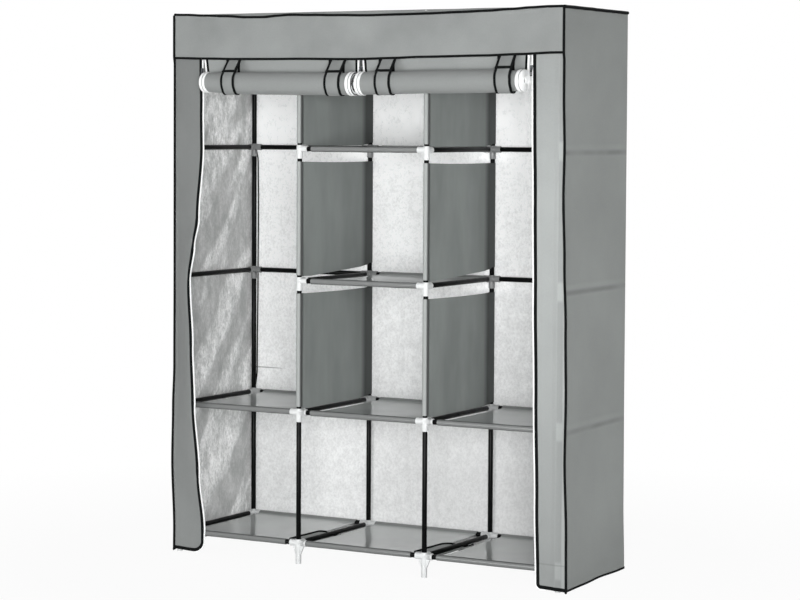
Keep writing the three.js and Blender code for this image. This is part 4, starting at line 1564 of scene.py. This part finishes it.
class WARDROBE_OT_cover_panels(bpy.types.Operator):
    """Build the roof, back, sides, valance and front strips of the cover"""

    bl_idname = "wardrobe.cover_panels"
    bl_label = "Cover panels"

    def execute(self, context):
        depth = BACK_Y - FACE_Y
        full = 2 * COVER_HALF_WIDTH
        panels = (
            ("roof", 90, 40, roof_surface, "cover", "lining", full),
            ("back", 96, 110, back_surface, "side", "lining", full - 2 * CORNER_RADIUS),
            ("side_left", SIDE_COLUMNS, 150, side_surface(-1), "side", "side_lining", depth),
            ("side_right", SIDE_COLUMNS, 150, side_surface(1), "side", "side_lining", depth),
            ("valance", 96, 14, valance_surface, "cover", "cover", full),
            ("strip_left", 22, 150, strip_surface(-1), "strip_left", "side_lining", STRIP_WIDTH),
            ("strip_right", 22, 150, strip_surface(1), "strip_right", "side_lining", STRIP_WIDTH),
        )
        for name, columns, rows, surface, outside, inside, width in panels:
            panel = cloth(f"cloth_{name}", columns, rows, surface, cloth_sizes().cover, inner_mark=1)
            smooth(panel, TRIM_SMOOTHING)
            fit(panel, "lining" if name == "back" else "cover_cloth", outside, inside, node=f"cover_{name}")
        flatten_strip(bpy.data.objects["cloth_strip_left"])
        return {"FINISHED"}


class WARDROBE_OT_cover_trim(bpy.types.Operator):
    """Build the piping, bindings and zip tapes of the cover"""

    bl_idname = "wardrobe.cover_trim"
    bl_label = "Piping, bindings and zip tapes"

    def execute(self, context):
        cord = round_section(cloth_sizes().piping_radius)
        pieces = []
        for side, name in SIDES:
            pieces += self.side_seams(side, name, cord)
        pieces += self.long_edges(cord)
        for side, name in SIDES:
            pieces += self.strip_edge(side, name)
        for piece in pieces:
            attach(piece, "wardrobe")
        for name in ("binding_strip_left", "zip_tape_strip_left", "zip_teeth_strip_left"):
            flatten_strip(bpy.data.objects[name])
        return {"FINISHED"}

    def side_seams(self, side, name, cord):
        """The piping, the inner seam tape and the hem of one side."""
        across = (1, 0, 0)
        seam_x = COVER_HALF_WIDTH - CORNER_RADIUS
        front = []
        for z in spread(PANEL_TOP_Z, HEM_Z + 0.002, 90):
            forward = 0.0044 if z > VALANCE_BOTTOM_Z - 0.002 else 0.0010
            front.append(corner(side, z) + Vector((side * 0.0010, -forward, 0)))
        turned_up = (-0.003, -0.002, -0.001) if side < 0 else (0.001, -0.003, -0.001)
        front.append(front[-1] + Vector(turned_up))
        surface = side_surface(side)
        top = []
        for share in spread(0.0, 1 - CORNER_COLUMNS / SIDE_COLUMNS, 40):
            at = Vector(surface(share if side > 0 else 1 - share, 1.0))
            top.append(at + Vector((side * 0.0002, 0, 0.0014 + 0.0008 * ripple(0, at.y, 0, 0.05, side))))
        rear = [Vector((side * seam_x, BACK_Y + 0.0012, z)) for z in spread(PANEL_TOP_Z, HEM_Z, 60)]
        inside = []
        for z in spread(PANEL_TOP_Z, HEM_Z, 120):
            drawn_in = curve_value(REAR_SEAM_IN, z) if side < 0 else 0.0
            inside.append(Vector((side * (seam_x - drawn_in), BACK_Y - 0.0024, z)))
        doubled = round_section(1.3 * cloth_sizes().piping_radius)
        hem = [(u, 0.0) for u in spread(0.0, 1.0, 60)]
        return [
            trim(f"piping_front_{name}", front, across, cord),
            trim(f"piping_top_{name}", top, across, doubled),
            trim(f"piping_rear_{name}", rear, across, cord),
            trim(f"seam_tape_rear_{name}", inside, across, SEAM_TAPE),
            rim_trim(f"hem_side_{name}", surface, hem, False, HEM_TAPE, 0.0030),
        ]

    def long_edges(self, cord):
        """The roof's front and rear piping, and the hems of the valance and the back."""
        half, rear_half = COVER_HALF_WIDTH, COVER_HALF_WIDTH - 0.008
        front = [Vector((x, VALANCE_Y - 0.0008, valance_top(x) + 0.0002)) for x in spread(-half, half, 120)]
        rear = [Vector((x, BACK_Y - 0.0006, ROOF_Z - 0.0006)) for x in spread(-rear_half, rear_half, 60)]
        valance_hem, back_hem = ([(u, 0.0) for u in spread(0.0, 1.0, steps)] for steps in (110, 90))
        return [
            trim("piping_top_front", front, (0, 1, 0), cord),
            trim("piping_top_rear", rear, (0, 1, 0), cord),
            rim_trim("binding_valance", valance_surface, valance_hem, False, VALANCE_TAPE, 0.0028),
            rim_trim("hem_back", back_surface, back_hem, False, HEM_TAPE, 0.0028),
        ]

    def strip_edge(self, side, name):
        """The binding, zip tape and zip teeth of a front strip's free edge."""
        sizes = cloth_sizes()
        rounded = 1 - STRIP_CORNER / STRIP_WIDTH

        def mark(reach, v=0.0):
            return (reach if side < 0 else 1 - reach, v)

        down = [mark(1.0, v) for v in spread(0.997, 0.0, 150)]
        bend = [mark(1 - (1 - rounded) * (1 - math.cos(a))) for a in spread(0.12, math.pi / 2, 12)]
        hem = [mark(reach) for reach in spread(rounded - 0.04, 0.0, 14)]
        edge = (strip_surface(side), down + bend + hem, side < 0)
        zip_edge = (strip_surface(side), down + bend, side < 0)
        binding = flat_section(sizes.binding_width, sizes.binding_depth)
        white = (ZIP_LIFT, "tape", "zip_tape")
        return [
            rim_trim(f"binding_strip_{name}", *edge, binding, 0.0034),
            rim_trim(f"zip_tape_strip_{name}", *zip_edge, STRIP_ZIP_TAPE, -0.0026, *white),
            rim_teeth(f"zip_teeth_strip_{name}", strip_surface(side), down, side < 0, -0.0054),
        ]


# The roll-up doors


ROLL_TURNS = 11
ROLL_STEPS = 28
DOOR_CLOTH = 0.0008
CURTAIN_BINDING = flat_section(0.0072, 0.0022)
CURTAIN_ZIP_TAPE = flat_section(0.0062, 0.001)

# How far the rolled edge stands out near a roll's end, as (distance from the end, height) pairs
ROLL_RINGS = (
    (0.0, 0.0), (0.0009, 0.0012), (0.0024, 0.0022), (0.0045, 0.0026), (0.0068, 0.0020),
    (0.0086, 0.0008), (0.0096, -0.0010), (0.0106, 0.0008), (0.0124, 0.0022), (0.0148, 0.0028),
    (0.0172, 0.0022), (0.0190, 0.0010), (0.0200, 0.0),
)
ROLL_GROOVE = (0.0087, 0.0105)
# How much thinner a roll is at its outer end and under a strap
ROLL_TAPER, STRAP_PINCH = 0.0042, 0.0009
ROLL_TAPE_WIDTH = 0.0196
ROLL_PLAIN_ENDS = (0.028, 0.045)


def door_span(side):
    """The left and right edge of a door in its roll."""
    return (-0.504, 0.0035) if side < 0 else (0.013, 0.5275)


def roll_point(x, turned, side):
    """A point on a rolled door's cloth: how far the cloth has turned, and where along the roll."""
    sizes = cloth_sizes()
    left, right = door_span(side)
    from_end = min(x - left, right - x)
    pitch = (sizes.roll_radius - sizes.roll_core) / ROLL_TURNS
    radius = sizes.roll_radius - pitch * turned
    radius += curve_value(ROLL_RINGS, from_end)
    outer_end = x - left if side < 0 else right - x
    radius -= ROLL_TAPER * math.exp(-((outer_end / 0.07) ** 2)) * (1 - turned / ROLL_TURNS)
    under_strap = max(math.exp(-(((x - strap) / 0.02) ** 4)) for strap in STRAP_X)
    radius -= STRAP_PINCH * under_strap
    angle = -math.tau * turned
    radius += 0.0006 * ripple(x, math.cos(angle) * 0.1, math.sin(angle) * 0.1, 0.14, 2.0)
    slip = 0.0014 * ripple(turned, left, 0, 1.7) * (1 if from_end < 0.03 else 0)
    height = ROLL_Z - curve_value(ROLL_SAG, x) + radius * math.sin(angle)
    return (x + slip, ROLL_Y + radius * math.cos(angle), height)


class WARDROBE_OT_doors(bpy.types.Operator):
    """Build the two rolled doors and the cloth that they hang from"""

    bl_idname = "wardrobe.doors"
    bl_label = "Roll-up doors"

    def execute(self, context):
        for side, name in SIDES:
            left, right = door_span(side)
            plain, open_cloth = ROLL_PLAIN_ENDS
            ends = [ring[0] for ring in ROLL_RINGS] + [plain]
            middle = spread(open_cloth, right - left - open_cloth, 20)
            places = [left + e for e in ends + middle] + [right - e for e in reversed(ends)]
            columns = len(places) - 1

            def rolled(u, v):
                return roll_point(places[round(u * columns)], v * ROLL_TURNS, side)

            roll = cloth(f"cloth_roll_{name}", columns, ROLL_TURNS * ROLL_STEPS, rolled, DOOR_CLOTH)
            whiten_ends_and_shade_gap(roll, left, right)
            smooth(roll, TRIM_SMOOTHING)
            # The black binding finish also serves as the painted shadow at the left roll's inner end.
            finishes = ("door", "tape", "binding")
            fit(roll, "cover_cloth", *finishes, node=f"door_roll_{name}", body=f"door_{name}")
            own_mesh(roll)
            self.curtain(side, name)
        return {"FINISHED"}

    def curtain(self, side, name):
        """The part of a door that hangs between the roof's seam and its roll."""
        outer_x, inner_x = DOOR_OUTER_X - 0.0075, DOOR_INNER_X + 0.006
        left, right = (-outer_x, -inner_x) if side < 0 else (inner_x, outer_x)
        top = PANEL_TOP_Z - 0.0028

        def hanging(u, v):
            under_roof = top - 0.55 * curve_value(ROOF_EDGE_SAG, left + (right - left) * u)
            z = ROLL_Z + (under_roof - ROLL_Z) * v
            low_share = max(0.0, 1 - (z - ROLL_Z) / (VALANCE_BOTTOM_Z - ROLL_Z))
            shift = 0.009 * low_share
            x = left + shift * (1.0 if side < 0 else 0.7) + (right - left - shift) * u
            wave = 0.0005 * ripple(x, 0, z, 0.12, 11.0) * min(1.0, 4 * v)
            return (x, FACE_Y + 0.0002 + wave, z)

        curtain = cloth(f"cloth_curtain_{name}", 60, 24, hanging, DOOR_CLOTH)
        dress(curtain, "cover_cloth", "curtain")
        pieces = [curtain]
        white = (ZIP_LIFT, "tape", "zip_tape")
        for edge_name, u in (("left", 0.0), ("right", 1.0)):
            end = f"curtain_{name}_{edge_name}"
            edge = (hanging, [(u, v) for v in spread(0.03, 0.995, 40)], u == 0.0)
            pieces += [
                rim_trim(f"binding_{end}", *edge, CURTAIN_BINDING, 0.0024, ZIP_LIFT),
                rim_trim(f"zip_tape_{end}", *edge, CURTAIN_ZIP_TAPE, -0.0030, *white),
                rim_teeth(f"zip_teeth_{end}", *edge, -0.0062),
            ]
        for piece in pieces:
            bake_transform(piece)


def whiten_ends_and_shade_gap(roll, left, right):
    """Mark the faces near a roll's two ends: 1 for the zip tape, 2 for a painted shadow in the gap between
    the rolls, in the binding's black.
    """
    for face in roll.data.polygons:
        from_end = min(face.center.x - left, right - face.center.x)
        in_groove = ROLL_GROOVE[0] < from_end < ROLL_GROOVE[1]
        in_gap_shadow = left < -0.1 and right - face.center.x < 0.0006
        if from_end < ROLL_TAPE_WIDTH and not in_groove:
            face.material_index = 2 if in_gap_shadow else 1


FLAP_DROP = 0.032
STRAP_TOP_Z = 1.545
STRAP_BACK_LEAN = -0.020
STRAP_FRONT_LEAN = -0.010
STRAP_DEPTH = 0.0011
STRAP_RIM = flat_section(0.0078, 0.0024)
STRAP_RIM_INSET = 0.0036
FLAP_END = flat_section(0.0088, 0.0036)


def leaning(z, share):
    """How far a strap leans to the left: share is 0 for its part behind the roll, 1 for its front part."""
    above = min(1.0, max(0.0, (z - ROLL_Z) / (VALANCE_BOTTOM_Z - ROLL_Z)))
    return STRAP_BACK_LEAN * (1 - share) + STRAP_FRONT_LEAN * above * share


def behind_valance(z, depth):
    """Where a strap runs up behind the pushed-out valance."""
    share = max(0.0, 1 - max(0.0, z - VALANCE_BOTTOM_Z) / (ROOF_Z - VALANCE_BOTTOM_Z))
    return FACE_Y - depth - 0.8 * VALANCE_PUSH * share**1.4


def strap_line(x, end_z):
    """A strap's middle line, down behind the roll, round it and up to the valance, and the (y, z) of
    the place where it leaves the roll."""
    radius = cloth_sizes().roll_radius + 0.0010
    roll_z, hem_z = ROLL_Z - curve_value(ROLL_SAG, x), valance_bottom(x)
    front_y = behind_valance(hem_z, 0.0009)
    back_y = FACE_Y - 0.0016
    joining = math.acos((back_y - ROLL_Y) / radius)
    along_y, along_z = front_y - ROLL_Y, hem_z - roll_z
    reach = math.hypot(along_y, along_z)
    tangent = math.atan2(along_z, along_y) + math.acos(radius / reach) - math.tau
    back_end = roll_z + radius * math.sin(joining) + 0.004
    back = [(back_y, z) for z in spread(STRAP_TOP_Z, back_end, 16)]
    angles = spread(joining, tangent, 44)
    around = [(ROLL_Y + radius * math.cos(a), roll_z + radius * math.sin(a)) for a in angles]
    last_y, last_z = around[-1]
    front = [(last_y + (front_y - last_y) * s, last_z + (hem_z - last_z) * s) for s in (0.25, 0.5, 0.75, 1.0)]
    front += [(behind_valance(z, 0.0009), z) for z in spread(hem_z + 0.008, end_z, 12)]
    path = [Vector((x + leaning(z, 0.0), y, z)) for y, z in back]
    path += [Vector((x + leaning(z, min(1.0, k / 30)), y, z)) for k, (y, z) in enumerate(around)]
    path += [Vector((x + leaning(z, 1.0), y, z)) for y, z in front]
    return path, (last_y, last_z)


def flap_line(x, last_y, last_z):
    """The middle line of the closing flap that lies on a strap's front part, from its free end up."""
    hem_z = valance_bottom(x)
    hem_y, start_y = behind_valance(hem_z, 0.0024), last_y - 0.0026
    first_share = (hem_z - FLAP_DROP - last_z) / (hem_z - last_z)
    shares = spread(first_share, 1.0, 6)
    line = [(start_y + (hem_y - start_y) * s, last_z + (hem_z - last_z) * s) for s in shares]
    line.append((behind_valance(hem_z + 0.012, 0.0020), hem_z + 0.012))
    return [Vector((x + leaning(z, 1.0), y, z)) for y, z in line]


def strap_rims(path, width):
    """The two bound edges of a strap or flap."""
    rims = []
    for side in (-1, 1):
        beside = Vector((side * (width / 2 - STRAP_RIM_INSET), 0, 0))
        rims.append(trim("edge", [point + beside for point in path], (1, 0, 0), STRAP_RIM))
    return rims


class WARDROBE_OT_straps(bpy.types.Operator):
    """Build the four door straps with their black bindings and closing flaps"""

    bl_idname = "wardrobe.straps"
    bl_label = "Door straps"

    def execute(self, context):
        for k, x in enumerate(STRAP_X):
            width = cloth_sizes().strap_width * STRAP_SPREAD[k]
            flat = flat_section(width - 0.002, STRAP_DEPTH)
            name = "left" if k < 2 else "right"
            end = f"{name}_{k % 2 + 1}"
            path, last = strap_line(x, PANEL_TOP_Z - 0.0035 - 0.78 * curve_value(ROOF_EDGE_SAG, x))
            body = trim(f"strap_{end}", path, (1, 0, 0), flat, "strap", "strap")
            edges = strap_rims(path, width)
            flap_path = flap_line(x, *last)
            flap = trim(f"strap_flap_{end}", flap_path, (1, 0, 0), flat, "strap", "strap")
            edges += strap_rims(flap_path, width)
            low_end = [flap_path[0] + Vector((dx, 0, 0)) for dx in spread(-width / 2, width / 2, 8)]
            down = (flap_path[0] - flap_path[1]).normalized()
            edges.append(trim("edge", low_end, down, FLAP_END))
            bindings = joined(edges, f"strap_binding_{end}")
            for piece in (body, flap, bindings):
                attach(piece, "wardrobe")
                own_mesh(piece)
                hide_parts(f"strap_pair_{name}")
            flat = (width - 0.002, path_length(path))
            flat = (width - 0.002, path_length(flap_path))
        return {"FINISHED"}


# The zip sliders, about the top of their plates: the plates' two planes, and the depth of the mouth
PLATE_Y = (0.0008, 0.0040)
PLATE_HALF_WIDTH = 0.0046
PLATE_HALF_THICKNESS = 0.0006
PLATE_LENGTH = 0.015
CORE_LENGTH = 0.006
WIRE_RADIUS = 0.0009


def narrowed(piece, below, length, share):
    """Draw in the lower end of a slider's piece."""
    pick(piece, verts=lambda vert: vert.co.z < below)
    bpy.ops.transform.resize(value=(share, 1, 1), center_override=(0, 0, -length))
    done()


def rounded(piece, radius, segments):
    """Round the corners of a plate that faces forward."""
    pick(piece, edges=lambda edge: abs((edge.verts[0].co - edge.verts[1].co).y) > 0.001)
    bpy.ops.mesh.bevel(offset=radius, segments=segments, affect="EDGES")
    done()


class WARDROBE_OT_zip_sliders(bpy.types.Operator):
    """Build the three zip sliders with their pulls"""

    bl_idname = "wardrobe.zip_sliders"
    bl_label = "Zip sliders"

    def execute(self, context):
        plates = []
        for y in PLATE_Y:
            near, far = y - PLATE_HALF_THICKNESS, y + PLATE_HALF_THICKNESS
            plate = box_piece((-PLATE_HALF_WIDTH, near, -PLATE_LENGTH), (PLATE_HALF_WIDTH, far, 0.0))
            narrowed(plate, -0.014, PLATE_LENGTH, 0.55)
            rounded(plate, 0.0016, 3)
            plates.append(plate)
        core = box_piece((-0.0010, PLATE_Y[0], -CORE_LENGTH), (0.0010, PLATE_Y[1], -0.0004))
        narrowed(core, -0.005, CORE_LENGTH, 0.3)
        wires = [
            round_bar(WIRE_RADIUS, (0, start_y, start_z), (0, end_y, end_z), 12)
            for start_y, start_z, end_y, end_z in (
                (0.0002, -0.0032, -0.0022, -0.0046),
                (-0.0020, -0.0042, -0.0020, -0.0106),
                (0.0002, -0.0116, -0.0022, -0.0102),
            )
        ]
        body = combine(plates[0], [plates[1], core, *wires], "UNION")
        pull = box_piece((-0.0030, -0.0026, -0.0300), (0.0030, -0.0014, -0.0060))
        rounded(pull, 0.0022, 4)
        eye = box_piece((-0.0014, -0.005, -0.0100), (0.0014, 0.001, -0.0072))
        slot = box_piece((-0.0013, -0.005, -0.0272), (0.0013, 0.001, -0.0190))
        combine(pull, [eye, slot], "DIFFERENCE")
        pattern = joined([body, pull], "slider")
        smooth(pattern, 40)
        for name, x in (("left", -ZIP_LINE_X), ("centre", 0.0), ("right", ZIP_LINE_X)):
            node = f"zip_slider_{name}"
            slider = copied(pattern, f"slider_{name}", (x, FACE_Y - 0.0021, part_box(node)[1].z))
            fit(slider, "zip_metal", "metal", node=node, body=f"zip_{name}")
        remove(pattern)
        return {"FINISHED"}


# The stage


CAMERA_PLACE = (3.3974, -5.9274, 1.2400)
CAMERA_YAW, CAMERA_PITCH, CAMERA_ROLL = 0.5170, -0.0480, -0.0053
FOCAL_PIXELS, PICTURE_WIDTH = 2398.7, 800
SHIFT_PIXELS = -56
SENSOR_WIDTH = 36.0
FLOOR_SIZE = 60.0
FLOOR_TONE = (0.88, 0.88, 0.88, 1)
WHITE = (1, 1, 1, 1)
SKY_STRENGTH = 0.27
# Name, place, diameter in metres and power in watts of each light
LAMPS = (
    ("key", (3.3, -5.6, 0.95), 2.6, 350.0),
    ("fill", (-1.6, -5.6, 0.6), 2.6, 110.0),
    ("back", (0.5, 4.5, 3.6), 3.0, 40.0),
)
LAMP_TARGET = (0, 0, 0.8)


class WARDROBE_OT_stage(bpy.types.Operator):
    """Set up the camera, the pale floor, the backdrop and the soft lights"""

    bl_idname = "wardrobe.stage"
    bl_label = "Stage"

    def execute(self, context):
        scene = bpy.context.scene
        scene.view_settings.view_transform = "Standard"
        scene.camera = self.camera()
        deselect_all()
        bpy.ops.mesh.primitive_plane_add(size=FLOOR_SIZE, location=(0, 0, 0))
        floor = settle(bpy.context.object, "floor")
        floor.data.materials.append(self.floor_finish())
        floor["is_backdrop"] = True
        scene.world = self.sky()
        for name, place, size, power in LAMPS:
            lamp = bpy.data.lights.new(name, "AREA")
            lamp.shape = "DISK"
            lamp.size = size
            lamp.energy = power
            light = bpy.data.objects.new(name, lamp)
            light.location = place
            facing = Vector(LAMP_TARGET) - Vector(place)
            light.rotation_euler = facing.to_track_quat("-Z", "Y").to_euler()
            scene.collection.objects.link(light)
        return {"FINISHED"}

    def camera(self):
        """The camera that shows the front and the right side."""
        lens = bpy.data.cameras.new("camera")
        lens.sensor_width = SENSOR_WIDTH
        lens.lens = FOCAL_PIXELS * SENSOR_WIDTH / PICTURE_WIDTH
        lens.shift_y = SHIFT_PIXELS / PICTURE_WIDTH
        camera = bpy.data.objects.new("camera", lens)
        turn = Matrix.Rotation(CAMERA_YAW, 4, "Z")
        for angle, axis in ((CAMERA_PITCH, "X"), (CAMERA_ROLL, "Y"), (math.pi / 2, "X")):
            turn = turn @ Matrix.Rotation(angle, 4, axis)
        camera.matrix_world = Matrix.Translation(CAMERA_PLACE) @ turn
        bpy.context.scene.collection.objects.link(camera)
        return camera

    def floor_finish(self):
        """A matt floor that keeps the object's shadow and fades into the white backdrop."""
        made = Finish("pale floor", 0.9)
        made.look(Base_Color=FLOOR_TONE)
        length = made.add("VectorMath", "Value", {0: made.place}, operation="LENGTH")
        seen = made.add("LightPath", "Is Camera Ray", {})
        glow = made.add("Emission", "Emission", {"Strength": 1.0})
        share = made.times(made.ranged(length, 1.0, 2.2, 0.94, 1.0), seen)
        surface = {"Fac": share, 1: made.shader.outputs["BSDF"], 2: glow}
        made.put(made.output.inputs["Surface"], made.add("MixShader", "Shader", surface))
        return made.material

    def sky(self):
        """White behind the object, and a plainer light on it."""
        world = bpy.data.worlds.new("studio")
        world.use_nodes = True
        made = Nodes(world.node_tree)
        rays = made.add("LightPath", None, {}).outputs
        seen = made.math("MAXIMUM", rays["Is Camera Ray"], rays["Is Glossy Ray"])
        seen = made.math("MAXIMUM", seen, rays["Is Transmission Ray"])
        plain, white = (
            made.add("Background", "Background", {"Color": WHITE, "Strength": strength})
            for strength in (SKY_STRENGTH, 1.0)
        )
        shown = made.add("MixShader", "Shader", {"Fac": seen, 1: plain, 2: white})
        made.add("OutputWorld", None, {"Surface": shown})
        return world


STEPS = (
    WARDROBE_OT_stage,
    WARDROBE_OT_side_frames,
    WARDROBE_OT_rails,
    WARDROBE_OT_hanging_rods,
    WARDROBE_OT_shelves,
    WARDROBE_OT_shelf_tabs,
    WARDROBE_OT_dividers,
    WARDROBE_OT_cover_panels,
    WARDROBE_OT_cover_trim,
    WARDROBE_OT_doors,
    WARDROBE_OT_straps,
    WARDROBE_OT_zip_sliders,
)
GROUPS = (WardrobeFrameSizes, WardrobeClothSizes, WardrobeColours)


class WARDROBE_PT_steps(bpy.types.Panel):
    """The wardrobe's pieces, one button for each group"""

    bl_idname = "WARDROBE_PT_steps"
    bl_label = "Wardrobe"
    bl_space_type = "VIEW_3D"
    bl_region_type = "UI"
    bl_category = "Wardrobe"

    def draw(self, context):
        scene = context.scene
        for settings in (scene.wardrobe_frame, scene.wardrobe_cloth, scene.wardrobe_colours):
            box = self.layout.box()
            for key in settings.__annotations__:
                box.prop(settings, key)
        for step in STEPS:
            self.layout.operator(step.bl_idname)


def register():
    for group in (*GROUPS, *STEPS, WARDROBE_PT_steps):
        bpy.utils.register_class(group)
    bpy.types.Scene.wardrobe_frame = PointerProperty(type=WardrobeFrameSizes)
    bpy.types.Scene.wardrobe_cloth = PointerProperty(type=WardrobeClothSizes)
    bpy.types.Scene.wardrobe_colours = PointerProperty(type=WardrobeColours)


def unregister():
    del bpy.types.Scene.wardrobe_frame
    del bpy.types.Scene.wardrobe_cloth
    del bpy.types.Scene.wardrobe_colours
    for group in reversed((*GROUPS, *STEPS, WARDROBE_PT_steps)):
        bpy.utils.unregister_class(group)


def main():
    register()
    FINISHES.update(make_finishes())
    for step in STEPS:
        family, action = step.bl_idname.split(".")
        getattr(getattr(bpy.ops, family), action)()
    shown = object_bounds()
    boxes = {"cad": CAD_BOX, "visual": shown}
    {name: [list(point) for point in box] for name, box in boxes.items()}


if __name__ == "__main__":
    main()
